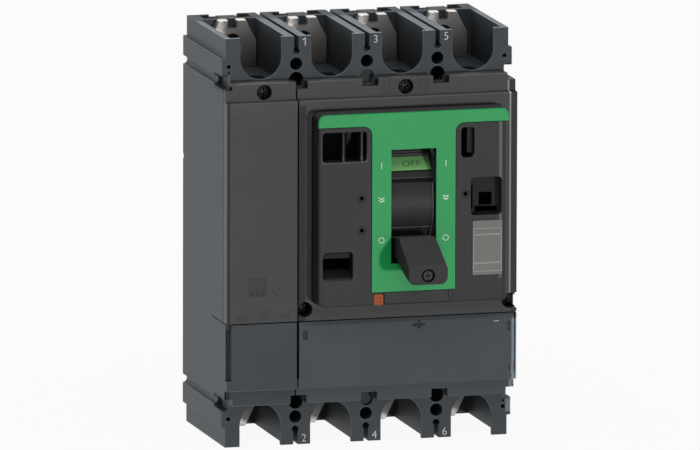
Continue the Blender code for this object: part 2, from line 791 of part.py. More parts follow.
def make_lower_terminal(x):
    """Terminal that steps forward and rises in front of the contact arm, ending in a fixed contact."""
    face, (near, far) = contact_reach()
    back = BAR[0] + face + TIP_THICK
    front = back + PAD_THICK
    plate = terminal_plate(x, -1)
    foot = BAR[1] - CHAMBER_END + GAP
    knee = foot + PAD_THICK
    outline = [
        (TERMINAL_BACK, foot - CUT_PAST),
        (NECK_FRONT, foot - CUT_PAST),
        (NECK_FRONT, foot),
        (front, foot),
        (front, BAR[1] - near + 1),
        (back, BAR[1] - near + 1),
        (back, knee),
        (TERMINAL_BACK, knee),
    ]
    riser = prism(outline, (x - BAR_HALF, x + BAR_HALF), side_spot)
    half = ARM_WIDE / 2
    contact = block((x - half, x + half), (BAR[0] + face, back + PAD_THICK / 2), (BAR[1] - far, BAR[1] - near))
    return join(plate, riser, contact)


def arm_outline():
    """Contact arm in depth and z at rest: a bar through the axis with a tip behind its upper and before its lower end."""
    half = ARM_THICK / 2
    rise = half + ARM_TIP_RISE
    outer = ARM_HALF_LONG - ARM_TIP_END
    inner = outer - ARM_TIP_LONG
    shape = [
        (ARM_HALF_LONG, half),
        (-inner, half),
        (-inner, rise),
        (-outer, rise),
        (-outer, half),
        (-ARM_HALF_LONG, half),
        (-ARM_HALF_LONG, -half),
        (inner, -half),
        (inner, -rise),
        (outer, -rise),
        (outer, -half),
        (ARM_HALF_LONG, -half),
    ]
    angle = math.radians(ARM_ANGLE)
    along = (math.cos(angle), math.sin(angle))
    across = (math.sin(angle), -math.cos(angle))
    return [(BAR[0] + u * along[0] + v * across[0], BAR[1] + u * along[1] + v * across[1]) for u, v in shape]


def rod_centres():
    """The two rods that tie the rotors together, on opposite sides of the axis."""
    return polar(BAR, CRANK_R, CRANK_ANGLE), polar(BAR, CRANK_R, CRANK_ANGLE + 180)


def make_rotor(x):
    """Insulating drum with a slot for the contact arm and a journal on each side."""
    drum = cross_rod(BAR, DRUM_R, (x - DRUM_HALF, x + DRUM_HALF), ROUND)
    inner = DRUM_HALF + LINK_ROOM
    outer = POLE_PITCH / 2 - GAP
    neck = cross_rod(BAR, NECK_R, (x - inner - 1, x + inner + 1), SMALL)
    journals = [cross_rod(BAR, JOURNAL_R, (x + low, x + high), PLAIN) for low, high in ((-outer, -inner), (inner, outer))]
    body = join(drum, neck, *journals)
    angle = math.radians(ARM_ANGLE)
    half = ARM_THICK / 2 + GAP
    long = DRUM_R + CUT_PAST
    corners = ((-long, -half), (long, -half), (long, half), (-long, half))
    slot = [
        (BAR[0] + u * math.cos(angle) - v * math.sin(angle), BAR[1] + u * math.sin(angle) + v * math.cos(angle))
        for u, v in corners
    ]
    wide = ARM_WIDE / 2 + GAP
    tools = [prism(slot, (x - wide, x + wide), side_spot)]
    for centre in rod_centres():
        tools.append(cross_rod(centre, ROD_R + GAP, (x - POLE_PITCH, x + POLE_PITCH), SMALL))
    return cut(body, *tools)


def make_arc_chute(x, end):
    """Stack of plates between two cheeks, notched where the contact tip sweeps past."""
    depths = CHUTE_DEPTHS_UPPER if end > 0 else CHUTE_DEPTHS_LOWER
    half = CHAMBER_HALF - GAP
    far = CHAMBER_END - PAD_THICK - 2 * GAP
    body = block((x - half, x + half), depths, ends(end, CHUTE_CLEAR, far))
    inside = half - CHUTE_CHEEK
    pitch = (far - CHUTE_CLEAR - CHUTE_PLATE) / (CHUTE_PLATES - 1)
    through = (depths[0] - CUT_PAST, depths[1] + CUT_PAST)
    tools = []
    for i in range(CHUTE_PLATES - 1):
        low = CHUTE_CLEAR + i * pitch + CHUTE_PLATE
        high = CHUTE_CLEAR + (i + 1) * pitch
        tools.append(block((x - inside, x + inside), through, ends(end, low, high)))
    mouth = depths[0] if end > 0 else depths[1]
    deep = mouth + CHUTE_MOUTH_DEEP if end > 0 else mouth - CHUTE_MOUTH_DEEP
    past = mouth - CUT_PAST if end > 0 else mouth + CUT_PAST
    notch = [(x - CHUTE_MOUTH_HALF, past), (x + CHUTE_MOUTH_HALF, past), (x + GAP, deep), (x - GAP, deep)]
    tools.append(prism(notch, ends(end, CHUTE_CLEAR - CUT_PAST, far + CUT_PAST), top_spot))
    return cut(body, *tools)


def cover_profile(inset):
    """Front cover in depth and z: main face, sloped step and upper band, drawn in by the skin for its hollow side."""
    back = COVER_BACK - (CUT_PAST if inset else 0)
    low = BLOCK_TOP + SLIT / 2 + inset
    face = COVER_FRONT - inset
    band = BAND_FRONT - inset
    step = END - BAND_TOP_DROP - inset
    return [
        (back, low),
        (face, low),
        (face, step),
        (band, step + BAND_SLOPE),
        (band, COVER_TOP - inset),
        (back, COVER_TOP - inset),
    ]


def make_cover(x_span, screws, notches):
    """Smoked front cover: a thin skin with skirts over the side lips, screw wells and notches round the mounting screws."""
    shell = prism(cover_profile(0), x_span, side_spot)
    hollow = (max(x_span[0], -INNER_SIDE) + COVER_SKIN, min(x_span[1], INNER_SIDE) - COVER_SKIN)
    rebates = [prism(cover_profile(COVER_SKIN), hollow, side_spot)]
    depths = (COVER_BACK - CUT_PAST, TERMINAL_FRONT + UPPER_LIP_RISE + GAP)
    for side in (-1, 1):
        span = sorted((side * INNER_SIDE, side * (CASE_HALF + CUT_PAST)))
        rebates.append(block(span, depths, (BLOCK_TOP, COVER_TOP + CUT_PAST)))
    shell = cut(shell, *rebates)
    wells = []
    holes = []
    for x, z in screws:
        face = BAND_FRONT if z > BLOCK_TOP + BLOCK_HEIGHT / 2 else COVER_FRONT
        wells.append(front_rod(x, z, COVER_WELL_R + COVER_WELL_WALL, (COVER_BACK, face - COVER_SKIN / 2), ROUND))
        seat = COVER_BACK + COVER_WELL_FLOOR
        holes.append(front_rod(x, z, COVER_WELL_R, (seat, COVER_FRONT + CUT_PAST), ROUND))
        holes.append(front_rod(x, z, COVER_SCREW_R + GAP, (COVER_BACK - CUT_PAST, seat + CUT_PAST), SMALL))
    inner = (max(x_span[0], -INNER_SIDE), min(x_span[1], INNER_SIDE))
    room = block(inner, (COVER_BACK, COVER_FRONT), (BLOCK_TOP + SLIT / 2, COVER_TOP))
    wells = [combine(well, [room], "INTERSECT") for well in wells]
    shell = join(shell, *wells)
    depths = (COVER_BACK - CUT_PAST, COVER_FRONT + CUT_PAST)
    for x in notches:
        half = SCREW_HEAD_R + GAP
        span = (max(x - half, x_span[0] - CUT_PAST), min(x + half, x_span[1] + CUT_PAST))
        holes.append(block(span, depths, (END - SCREW_NOTCH_DROP, COVER_TOP + CUT_PAST)))
    for side in (-1, 1):
        corner = sorted((side * (CASE_HALF - GRIP_INSET), side * (CASE_HALF + CUT_PAST)))
        holes.append(block(corner, depths, (END - GRIP_DROPS[1], COVER_TOP + CUT_PAST)))
    return cut(shell, *holes)


def panel_outline(grow):
    """Outline of the escutcheon in x and z, grown for the opening round it."""
    return rounded_rectangle(
        PANEL_LEFT - grow,
        PANEL_RIGHT + grow,
        PANEL_LOW - grow,
        PANEL_HIGH + grow,
        PANEL_CORNER_R + grow,
        4,
    )


def make_main_cover():
    """Cover of the three phase poles, open where the escutcheon comes through."""
    places = cover_screw_places()
    cover = make_cover((SEAM_X + SEAM / 2, CASE_HALF), places[1:], PARTITION_X)
    depths = (COVER_FRONT - COVER_SKIN - CUT_PAST, COVER_FRONT + CUT_PAST)
    side = (CASE_HALF - WELL_RELIEF, CASE_HALF + CUT_PAST)
    z = places[3][1]
    relief = block(side, (COVER_BACK - CUT_PAST, COVER_FRONT + CUT_PAST), (z - COVER_WELL_R, z + COVER_WELL_R))
    return cut(cover, prism(panel_outline(GAP), depths, front_spot), relief)


def make_neutral_cover():
    """Cover of the neutral pole."""
    return make_cover((-CASE_HALF, SEAM_X - SEAM / 2), cover_screw_places()[:1], [])


def fascia_outline(grow):
    """T-shaped fascia in x and z: a band over the whole top and a column round the handle, with round inner corners."""
    left = PANEL_LEFT - grow
    right = PANEL_RIGHT + grow
    top = PANEL_HIGH + grow
    band = PANEL_HIGH - FASCIA_BAND - grow
    foot = PANEL_LOW + FASCIA_FOOT - grow
    inner = FASCIA_CORNER_R - grow
    column = (MAIN_X - FASCIA_HALF - grow, MAIN_X + FASCIA_HALF + grow)
    corner = PANEL_CORNER_R + grow
    points = [(left, band)]
    points += arc((column[0] - inner, band - inner), inner, 90, 0, 5)
    points += [(column[0], foot), (column[1], foot)]
    points += arc((column[1] + inner, band - inner), inner, 180, 90, 5)
    points += [(right, band)]
    points += arc((right - corner, top - corner), corner, 0, 90, 4)
    points += arc((left + corner, top - corner), corner, 90, 180, 4)
    return points


def slot_rectangle(grow):
    """Handle slot in x and z."""
    return rectangle(
        MAIN_X - SLOT_HALF - grow, MAIN_X + SLOT_HALF + grow, HANDLE_Z + SLOT_LOW - grow, HANDLE_Z + SLOT_HIGH + grow
    )


def strip_rectangle(grow):
    """Identification strip in x and z."""
    middle = MAIN_X + STRIP_X_OFF
    low = PANEL_LOW + STRIP_LOW
    return rectangle(
        middle - STRIP_HALF - grow, middle + STRIP_HALF + grow, low - grow, low + STRIP_HEIGHT + grow
    )


def label_rectangle(grow):
    """Rating plate in x and z."""
    right = PANEL_RIGHT - LABEL_RIGHT
    low = PANEL_LOW + LABEL_LOW
    return rectangle(right - LABEL_SIZE[0] - grow, right + grow, low - grow, low + LABEL_SIZE[1] + grow)


def button_rectangle(grow):
    """Push button in x and z."""
    middle = MAIN_X + BUTTON_X_OFF
    half = BUTTON_SIZE[0] / 2 + grow
    low = PANEL_LOW + BUTTON_LOW
    return rectangle(middle - half, middle + half, low - grow, low + BUTTON_SIZE[1] + grow)


def panel_area(area, grow):
    """Left, right, low and high of an area that is counted from the middle line and the lower edge of the escutcheon."""
    left, right, low, high = area
    return MAIN_X + left - grow, MAIN_X + right + grow, PANEL_LOW + low - grow, PANEL_LOW + high + grow


def window_collars():
    """Solid blocks behind the skin that become the walls of the windows and of the catch pocket."""
    depths = (PANEL_FRONT - COLLAR_DEEP - COLLAR_WALL, PANEL_BACK + GAP)
    upper_left = (WINDOWS[0][0], WINDOWS[2][1], WINDOWS[0][2], WINDOWS[0][3])
    areas = (upper_left, WINDOWS[3], WINDOWS[4], CATCH_POCKET)
    return [prism(rectangle(*panel_area(area, COLLAR_WALL)), depths, front_spot) for area in areas]


def window_fittings():
    """Ramp and rail inside the lower left window, and the stop inside the narrow right one."""
    left, right, low, high = panel_area(WINDOWS[3], COLLAR_WALL / 2)
    deep = PANEL_FRONT - COLLAR_DEEP
    ramp = [
        (PANEL_FRONT - PANEL_SKIN / 2, low),
        (PANEL_FRONT - PANEL_SKIN / 2, low + COLLAR_WALL),
        (deep, low + RAMP_RISE),
        (deep, low),
    ]
    rail_top = high - RAIL_DROP
    rail = block(
        (left, right),
        (PANEL_FRONT - RAIL_DEPTHS[1], PANEL_FRONT - RAIL_DEPTHS[0]),
        (rail_top - RAIL_HEIGHT, rail_top),
    )
    left_stop, right_stop, low_stop, high_stop = panel_area(WINDOWS[4], COLLAR_WALL / 2)
    edge = right_stop - STOP_SHARE * (right_stop - left_stop)
    stop = block(
        (edge, right_stop),
        (deep - COLLAR_WALL / 2, PANEL_FRONT - STOP_DEPTH),
        (low_stop + RAMP_LIP, high_stop),
    )
    return [prism(ramp, (left, right), side_spot), rail, stop]


def make_escutcheon():
    """Raised front panel: a skin with deep skirts, windows, the handle slot and seats for the plates on it."""
    back = COVER_FRONT - COVER_SKIN - GAP - PANEL_TAB
    body = prism(panel_outline(0), (back, PANEL_FRONT), front_spot)

    def front_rim(first, second):
        return first[1] > PANEL_FRONT - GAP and second[1] > PANEL_FRONT - GAP

    body = soften(body, PANEL_EDGE, 2, front_rim)
    hollow = prism(panel_outline(-PANEL_WALL), (back - CUT_PAST, PANEL_BACK), front_spot)
    round_centre = (PANEL_RIGHT - PANEL_SIDE_ROUND, PANEL_FRONT - PANEL_SIDE_ROUND)
    corner = (PANEL_RIGHT + CUT_PAST, PANEL_FRONT + CUT_PAST)
    side_round = arc(round_centre, PANEL_SIDE_ROUND, 90, 0, 6)
    side_round += [(corner[0], round_centre[1]), corner, (round_centre[0], corner[1])]
    side_span = (PANEL_LOW - CUT_PAST, PANEL_HIGH - FASCIA_BAND - GAP)
    body = cut(body, hollow)
    wall = block(
        (PANEL_RIGHT - PANEL_SIDE_ROUND - PANEL_WALL, PANEL_RIGHT - GAP),
        (PANEL_FRONT - PANEL_SIDE_ROUND - PANEL_WALL, PANEL_BACK + GAP),
        (PANEL_LOW + PANEL_CORNER_R, PANEL_HIGH - PANEL_CORNER_R),
    )
    tabs = [
        block((PANEL_LEFT - PANEL_TAB, PANEL_LEFT + PANEL_WALL / 2), (back, back + PANEL_TAB), (PANEL_Z, PANEL_Z + TAB_LONG)),
        block((PANEL_RIGHT - PANEL_WALL / 2, PANEL_RIGHT + PANEL_TAB), (back, back + PANEL_TAB), (PANEL_Z, PANEL_Z + TAB_LONG)),
        block((MAIN_X - TAB_LONG / 2, MAIN_X + TAB_LONG / 2), (back, back + PANEL_TAB), (PANEL_LOW - PANEL_TAB, PANEL_LOW + PANEL_WALL / 2)),
        block((MAIN_X - TAB_LONG / 2, MAIN_X + TAB_LONG / 2), (back, back + PANEL_TAB), (PANEL_HIGH - PANEL_WALL / 2, PANEL_HIGH + PANEL_TAB)),
    ]
    body = join(body, wall, *tabs, *window_collars())
    fore = PANEL_FRONT + CUT_PAST
    behind = PANEL_BACK - CUT_PAST
    seat = PANEL_FRONT + FASCIA_PROUD - FASCIA_THICK - GAP
    plate_seat = PANEL_FRONT - PLATE_THICK - GAP
    tools = [
        prism(side_round, side_span, top_spot),
        prism(fascia_outline(GAP), (seat, fore), front_spot),
        prism(slot_rectangle(0), (behind, fore), front_spot),
        prism(strip_rectangle(GAP), (plate_seat, fore), front_spot),
        prism(label_rectangle(GAP), (plate_seat, fore), front_spot),
    ]
    button = button_rectangle(GAP)
    low = PANEL_LOW - CUT_PAST
    tools.append(block((button[0][0], button[1][0]), (back - CUT_PAST, fore), (low, button[2][1])))
    collar_back = PANEL_FRONT - COLLAR_DEEP - COLLAR_WALL
    for window, square in zip(WINDOWS, WINDOW_SQUARE):
        outline = rounded_rectangle(*panel_area(window, 0), WINDOW_CORNER_R, 3, square)
        tools.append(prism(outline, (collar_back - CUT_PAST, fore), front_spot))
    bars = panel_area((WINDOWS[0][1], WINDOWS[2][0], WINDOWS[0][2] + BAR_FOOT, WINDOWS[0][3] - BAR_FOOT), 0)
    tools.append(block((bars[0] - GAP, bars[1] + GAP), (PANEL_FRONT - BAR_SUNK, fore), bars[2:]))
    pocket = rounded_rectangle(*panel_area(CATCH_POCKET, 0), WINDOW_CORNER_R, 2)
    tools.append(prism(pocket, (PANEL_FRONT - CATCH_DEEP, fore), front_spot))
    for area in (CATCH_HOLE, CATCH_SLOT, CATCH_GAP):
        tools.append(prism(rectangle(*panel_area(area, 0)), (collar_back - CUT_PAST, fore), front_spot))
    for x, z in SIGHT_HOLES:
        tools.append(front_rod(MAIN_X + x, PANEL_LOW + z, SIGHT_HOLE_R, (behind, fore), SMALL))
    return join(cut(body, *tools), *window_fittings())


def make_fascia():
    """Green plate with the handle slot."""
    front = PANEL_FRONT + FASCIA_PROUD
    plate = prism(fascia_outline(0), (front - FASCIA_THICK, front), front_spot)
    band = PANEL_HIGH - FASCIA_BAND

    def outer_rim(first, second):
        return min(first[1], second[1]) > front - GAP / 2 and max(first[2], second[2]) > band + GAP

    plate = soften(plate, FASCIA_EDGE, 2, outer_rim)
    return cut(plate, prism(slot_rectangle(0), (front - FASCIA_THICK - CUT_PAST, front + CUT_PAST), front_spot))


def make_lower_block(x_span, rear_span, chamfer, corners, grooves, extra):
    """Blank front block: a shell open to the rear, stepped at its foot and notched there, with a groove on each side."""
    foot = END - BLOCK_DROP
    step_front = COVER_FRONT - STEP_FALL
    inner_foot = CHAMBER_END + END_WALL / 2 - GAP
    outline = [
        (WEB_FRONT + GAP, -inner_foot),
        (COVER_BACK, -inner_foot),
        (COVER_BACK, -foot),
        (step_front, -foot),
        (step_front, STEP_HEIGHT - foot),
        (COVER_FRONT, STEP_HEIGHT - foot),
        (COVER_FRONT, BLOCK_TOP - SLIT / 2 - chamfer[1]),
        (COVER_FRONT - chamfer[0], BLOCK_TOP - SLIT / 2),
        (WEB_FRONT + GAP, BLOCK_TOP - SLIT / 2),
    ]
    front = prism(outline, x_span, side_spot)
    top = BLOCK_TOP - SLIT / 2 - BLOCK_WALL
    low = BLOCK_WALL - inner_foot
    hollow_depths = (WEB_FRONT - CUT_PAST, step_front - BLOCK_WALL)
    hollow_x = (rear_span[0] + BLOCK_WALL, rear_span[1] - BLOCK_WALL)
    tools = [block(hollow_x, hollow_depths, (low, top))]
    foot_depths = (COVER_BACK - CUT_PAST, COVER_FRONT + CUT_PAST)
    for x in PARTITION_X:
        notch = (max(x - FOOT_NOTCH / 2, x_span[0] - CUT_PAST), min(x + FOOT_NOTCH / 2, x_span[1] + CUT_PAST))
        if notch[0] < notch[1]:
            tools.append(block(notch, foot_depths, (-foot - CUT_PAST, FOOT_NOTCH_DROP - END)))
    for side in (-1, 1):
        grip = sorted((side * (CASE_HALF - GRIP_INSET), side * (CASE_HALF + CUT_PAST)))
        tools.append(block(grip, foot_depths, (-foot - CUT_PAST, GRIP_DROPS[1] - END)))
    stop = GROOVE_STOP_DROP - END
    for side, x, rear_x, groove in zip((-1, 1), x_span, rear_span, grooves):
        span = sorted((x - side * groove[0], x + side * CUT_PAST))
        tools.append(block(span, (COVER_FRONT - groove[1], COVER_FRONT + CUT_PAST), (stop, BLOCK_TOP)))
        rear = sorted((rear_x, x + side * CUT_PAST))
        tools.append(block(rear, (WEB_FRONT, COVER_BACK), (-END, BLOCK_TOP)))
    wide, high = CORNER_RECESS
    for x in corners:
        z = BLOCK_TOP - CORNER_RECESS_DROP
        depths = (COVER_FRONT - CROSS_DEEP, COVER_FRONT + CUT_PAST)
        tools.append(block((x - wide / 2, x + wide / 2), depths, (z - high, z)))
    return cut(front, *tools, *extra)


def make_main_block():
    """Blank block under the main cover, with a small cross-shaped recess and a scoop at its right edge."""
    span = (SEAM_X + SEAM / 2, INNER_SIDE)
    x = MAIN_X + CROSS_SIZE * 1.5
    z = BLOCK_TOP - CROSS_SIZE
    depths = (COVER_FRONT - CROSS_DEEP, COVER_FRONT + CUT_PAST)
    bar = CROSS_BAR / 2
    half = CROSS_SIZE / 2
    scoop_z = EDGE_SCOOP_DROP - END
    extra = [
        block((x - CROSS_WIDE / 2, x + CROSS_WIDE / 2), depths, (z - bar, z + bar)),
        block((x - bar, x + bar), depths, (z - half, z + half)),
        front_rod(span[1], scoop_z, EDGE_SCOOP_R, (COVER_FRONT - CROSS_DEEP, COVER_FRONT + CUT_PAST), ROUND),
    ]
    rear_span = (SEAM_X + DIVIDER / 2 + GAP, CASE_HALF - SIDE_WALL - GAP)
    corners = (span[0] + CORNER_RECESS_IN + 1, span[1] - CORNER_RECESS_IN)
    grooves = (INNER_GROOVE, INNER_GROOVE)
    return make_lower_block(span, rear_span, BLOCK_CHAMFER, corners, grooves, extra)


def make_neutral_block():
    """Blank block under the neutral cover."""
    rear_span = (SIDE_WALL + GAP - CASE_HALF, SEAM_X - DIVIDER / 2 - GAP)
    grooves = (OUTER_GROOVE, INNER_GROOVE)
    return make_lower_block((-INNER_SIDE, SEAM_X - SEAM / 2), rear_span, (GAP, GAP), (), grooves, ())


def lever_outline():
    """Lever in depth and z at rest: low neck, long flat top, upright end and a flatter underside."""
    centre = PIVOT
    root = SHIELD_R + GAP
    top = math.degrees(math.asin(LEVER_ROOT_TOP / root))
    low = math.degrees(math.asin(LEVER_ROOT_LOW / root))
    ring = arc(centre, root, low, top, 6)
    tip = (centre[0] + LEVER_REACH, centre[1])
    return ring + [
        (centre[0] + LEVER_SHOULDER[0], centre[1] + LEVER_SHOULDER[1]),
        (tip[0], tip[1] + LEVER_END_TOP),
        (tip[0] - LEVER_END_LEAN, tip[1] + LEVER_END_BOTTOM),
    ]


def tongue_start():
    """Distance from the handle's axis at which the tongue's end just clears the yoke's bridge."""
    turn = math.radians(abs(TONGUE_TURN))
    return (YOKE_REACH + GAP + TONGUE_THICK / 2 * math.sin(turn)) / math.cos(turn)


def tongue_outline(half, near, far):
    """Rectangle of the tongue in depth and z at rest, between two distances from the handle's axis."""
    corners = ((near, -half), (far, -half), (far, half), (near, half))
    return [turned((PIVOT[0] + u, PIVOT[1] + v), PIVOT, REST_TILT + TONGUE_TURN) for u, v in corners]


def make_handle():
    """Toggle lever, a little wider at its tip, with a tongue that goes through the shield to the yoke."""
    outline = lever_outline()

    def half_at(depth):
        share = (depth - PIVOT[0] - SHIELD_R) / (LEVER_REACH - SHIELD_R)
        return LEVER_HALF_ROOT + (LEVER_HALF_TIP - LEVER_HALF_ROOT) * share

    left = [place(MAIN_X - half_at(depth), depth, z) for depth, z in outline]
    right = [place(MAIN_X + half_at(depth), depth, z) for depth, z in outline]
    lever = loft(left, right)
    edge_start = PIVOT[0] + LEVER_SHOULDER[0] - 1

    def outer_edge(first, second):
        return first[1] > edge_start and second[1] > edge_start

    lever = soften(lever, LEVER_EDGE, 2, outer_edge)
    tongue = tongue_outline(TONGUE_THICK / 2, tongue_start(), SHIELD_R + TONGUE_PAST)
    lever = join(lever, prism(tongue, (MAIN_X - TONGUE_HALF, MAIN_X + TONGUE_HALF), side_spot))
    end = PIVOT[0] + LEVER_REACH
    bore = (end - PLUG_DEEP, end + CUT_PAST)
    return cut(lever, front_rod(MAIN_X, PIVOT[1] - PLUG_DROP, PLUG_R + GAP, bore, ROUND))


def make_end_plug():
    """Round plug in the end of the lever, with a driver slot."""
    end = PIVOT[0] + LEVER_REACH
    z = PIVOT[1] - PLUG_DROP
    plug = front_rod(MAIN_X, z, PLUG_R, (end - PLUG_DEEP + GAP, end - PLUG_SUNK), ROUND)
    across = (MAIN_X - PLUG_SLOT / 2, MAIN_X + PLUG_SLOT / 2)
    depths = (end - PLUG_DEEP / 2 - GAP, end + CUT_PAST)
    return cut(plug, block(across, depths, (z - PLUG_R - CUT_PAST, z + PLUG_R + CUT_PAST)))


def shield_band(radii, angles, half, steps):
    """Curved plate about the handle's axis; angles are counted from the lever."""
    outer = arc(PIVOT, radii[1], angles[0] + REST_TILT, angles[1] + REST_TILT, steps)
    inner = arc(PIVOT, radii[0], angles[1] + REST_TILT, angles[0] + REST_TILT, steps)
    return prism(outer + inner, (MAIN_X - half, MAIN_X + half), side_spot)


def make_shield():
    """Curved shield behind the slot, with a window for the lever's tongue and a sunk band above the lever."""
    plate = shield_band((SHIELD_R - SHIELD_THICK, SHIELD_R), (-SHIELD_REACH, SHIELD_REACH), SHIELD_HALF, 26)
    outside = SHIELD_R + SHIELD_RELIEF + CUT_PAST
    window = tongue_outline(TONGUE_THICK / 2 + GAP, YOKE_REACH, outside)
    wide = TONGUE_HALF + GAP
    bars = []
    grooves = [prism(window, (MAIN_X - wide, MAIN_X + wide), side_spot)]
    grooves.append(shield_band((SHIELD_R - NECK_RECESS, outside), NECK_ANGLES, SHIELD_HALF + CUT_PAST, 4))
    for sign in (-1, 1):
        raised = sorted(sign * angle for angle in BAR_ANGLES)
        sunk = sorted(sign * angle for angle in GROOVE_ANGLES)
        bars.append(shield_band((SHIELD_R - SHIELD_RELIEF, SHIELD_R + SHIELD_RELIEF), raised, FLAG_HALF, 3))
        grooves.append(shield_band((SHIELD_R - SHIELD_GROOVE, SHIELD_R + CUT_PAST), sunk, FLAG_HALF, 2))
    return cut(join(plate, *bars), *grooves)


def make_flag(sign):
    """Position flag on the shield, +1 for the one shown when the lever is down."""
    angles = sorted((sign * FLAG_ANGLES[0], sign * FLAG_ANGLES[1]))
    radii = (SHIELD_R + GAP, SHIELD_R + GAP + FLAG_THICK)
    return shield_band(radii, angles, FLAG_HALF, 6)


def toggle_centre():
    """Axis of the toggle pin in depth and z."""
    return polar(PIVOT, CRANK_R, CRANK_ANGLE)


def make_yoke():
    """Steel fork: two arms on the pivot pin, joined by a bridge behind the lever's tongue."""
    ear = toggle_centre()
    corners = ((YOKE_REACH - YOKE_BRIDGE, -YOKE_BRIDGE_HALF), (YOKE_REACH, -YOKE_BRIDGE_HALF))
    corners += ((YOKE_REACH, YOKE_BRIDGE_HALF), (YOKE_REACH - YOKE_BRIDGE, YOKE_BRIDGE_HALF))
    bridge = [turned((PIVOT[0] + u, PIVOT[1] + v), PIVOT, REST_TILT) for u, v in corners]
    arm = wrapped(circle(PIVOT, YOKE_HUB_R, ROUND) + circle(ear, YOKE_EAR_R, ROUND) + bridge)
    outer = DRUM_HALF
    inner = outer - YOKE_ARM
    arms = [prism(arm, (MAIN_X + low, MAIN_X + high), side_spot) for low, high in ((-outer, -inner), (inner, outer))]
    span = (MAIN_X - inner - GAP, MAIN_X + inner + GAP)
    body = join(prism(bridge, span, side_spot), *arms)
    wide = (MAIN_X - outer - CUT_PAST, MAIN_X + outer + CUT_PAST)
    return cut(body, cross_rod(PIVOT, PIN_R + GAP, wide, ROUND), cross_rod(ear, TOGGLE_R + GAP, wide, SMALL))


def make_link(side):
    """Flat link from the toggle pin to a rod of the contact bar."""
    near = toggle_centre()
    far = rod_centres()[0]
    outline = wrapped(circle(near, LINK_R, ROUND) + circle(far, LINK_R, ROUND))
    low = DRUM_HALF + (LINK_ROOM - LINK_THICK) / 2
    span = sorted((MAIN_X + side * low, MAIN_X + side * (low + LINK_THICK)))
    wide = (span[0] - CUT_PAST, span[1] + CUT_PAST)
    body = prism(outline, span, side_spot)
    return cut(body, cross_rod(near, TOGGLE_R + GAP, wide, SMALL), cross_rod(far, ROD_R + GAP, wide, SMALL))


def frame_offset():
    """Distance from the middle of the mechanism to the inner face of a frame plate."""
    return DRUM_HALF + LINK_ROOM


def make_frame_plate(side):
    """Steel side plate on the web that carries the pivot pin."""
    back = WEB_FRONT + GAP
    front = back + FRAME_DEPTH
    low = PIVOT[1] - FRAME_BELOW
    high = PIVOT[1] + FRAME_ABOVE
    outline = [
        (back, low),
        (front - FRAME_NOSE, low),
        (front, low + FRAME_NOSE),
        (front, high - FRAME_NOSE),
        (front - FRAME_NOSE, high),
        (back, high),
    ]
    inner = frame_offset()
    span = sorted((MAIN_X + side * inner, MAIN_X + side * (inner + FRAME_PLATE)))
    plate = prism(outline, span, side_spot)
    return cut(plate, cross_rod(PIVOT, PIN_R + GAP, (span[0] - CUT_PAST, span[1] + CUT_PAST), ROUND))


def make_mainspring(side):
    """Spring between the toggle pin and the bridge of the yoke."""
    start = toggle_centre()
    finish = polar(PIVOT, YOKE_REACH - YOKE_BRIDGE, REST_TILT)
    long = math.dist(start, finish)
    step = ((finish[0] - start[0]) / long, (finish[1] - start[1]) / long)
    head = TOGGLE_R + SPRING_WIRE_R + GAP
    tail = long - SPRING_WIRE_R - 2 * GAP
    x = MAIN_X + side * SPRING_SPREAD
    ends_at = [place(x, start[0] + step[0] * d, start[1] + step[1] * d) for d in (head, tail)]
    return coil(ends_at[0], ends_at[1], SPRING_COIL_R * MM, SPRING_WIRE_R * MM, SPRING_TURNS)


def make_button():
    """Square push button, guided in the foot of the escutcheon."""
    front = PANEL_FRONT + BUTTON_PROUD
    body = prism(button_rectangle(0), (front - BUTTON_LONG, front), front_spot)

    def front_rim(first, second):
        return first[1] > front - GAP and second[1] > front - GAP

    return soften(body, BUTTON_EDGE, 1, front_rim)


def make_button_spring():
    """Return spring between the web and the back of the push button."""
    button = button_rectangle(0)
    x = (button[0][0] + button[1][0]) / 2
    z = (button[0][1] + button[2][1]) / 2
    start = place(x, WEB_FRONT + GAP + SPRING_WIRE_R, z)
    finish = place(x, PANEL_FRONT + BUTTON_PROUD - BUTTON_LONG - GAP - SPRING_WIRE_R, z)
    return coil(start, finish, BUTTON_SPRING_R * MM, SPRING_WIRE_R * MM, SPRING_TURNS)


def make_cover_screw(x, z):
    """Pan-head screw seated in its well."""
    seat = COVER_BACK + COVER_WELL_FLOOR + GAP
    shank = front_rod(x, z, COVER_SCREW_R, (TERMINAL_FRONT - COVER_SCREW_LONG, seat + COVER_SCREW_HEAD / 2), SMALL)
    head = front_rod(x, z, COVER_SCREW_HEAD_R, (seat, seat + COVER_SCREW_HEAD), ROUND)
    slot_depths = (seat + COVER_SCREW_HEAD / 2, seat + COVER_SCREW_HEAD + CUT_PAST)
    half = COVER_SCREW_HEAD_R + CUT_PAST
    slot = block((x - GAP, x + GAP), slot_depths, (z - half, z + half))
    return cut(join(head, shank), slot)


def clear_scene():
    """Removes what the scene holds."""
    for obj in list(bpy.data.objects):
        bpy.data.objects.remove(obj)


def build_case_pieces():
    """Case, rear plate, covers and blocks."""
    piece("case", make_case(), SLATE)
    piece("rear_plate", make_rear_plate(), SLATE)
    piece("neutral_cover", make_neutral_cover(), SMOKED)
    piece("main_cover", make_main_cover(), SMOKED)
    piece("neutral_lower_block", make_neutral_block(), SLATE)
    piece("lower_front_block", make_main_block(), SLATE)
    for i, (x, z) in enumerate(cover_screw_places()):
        piece(f"cover_screw_{i + 1}", make_cover_screw(x, z), STEEL)


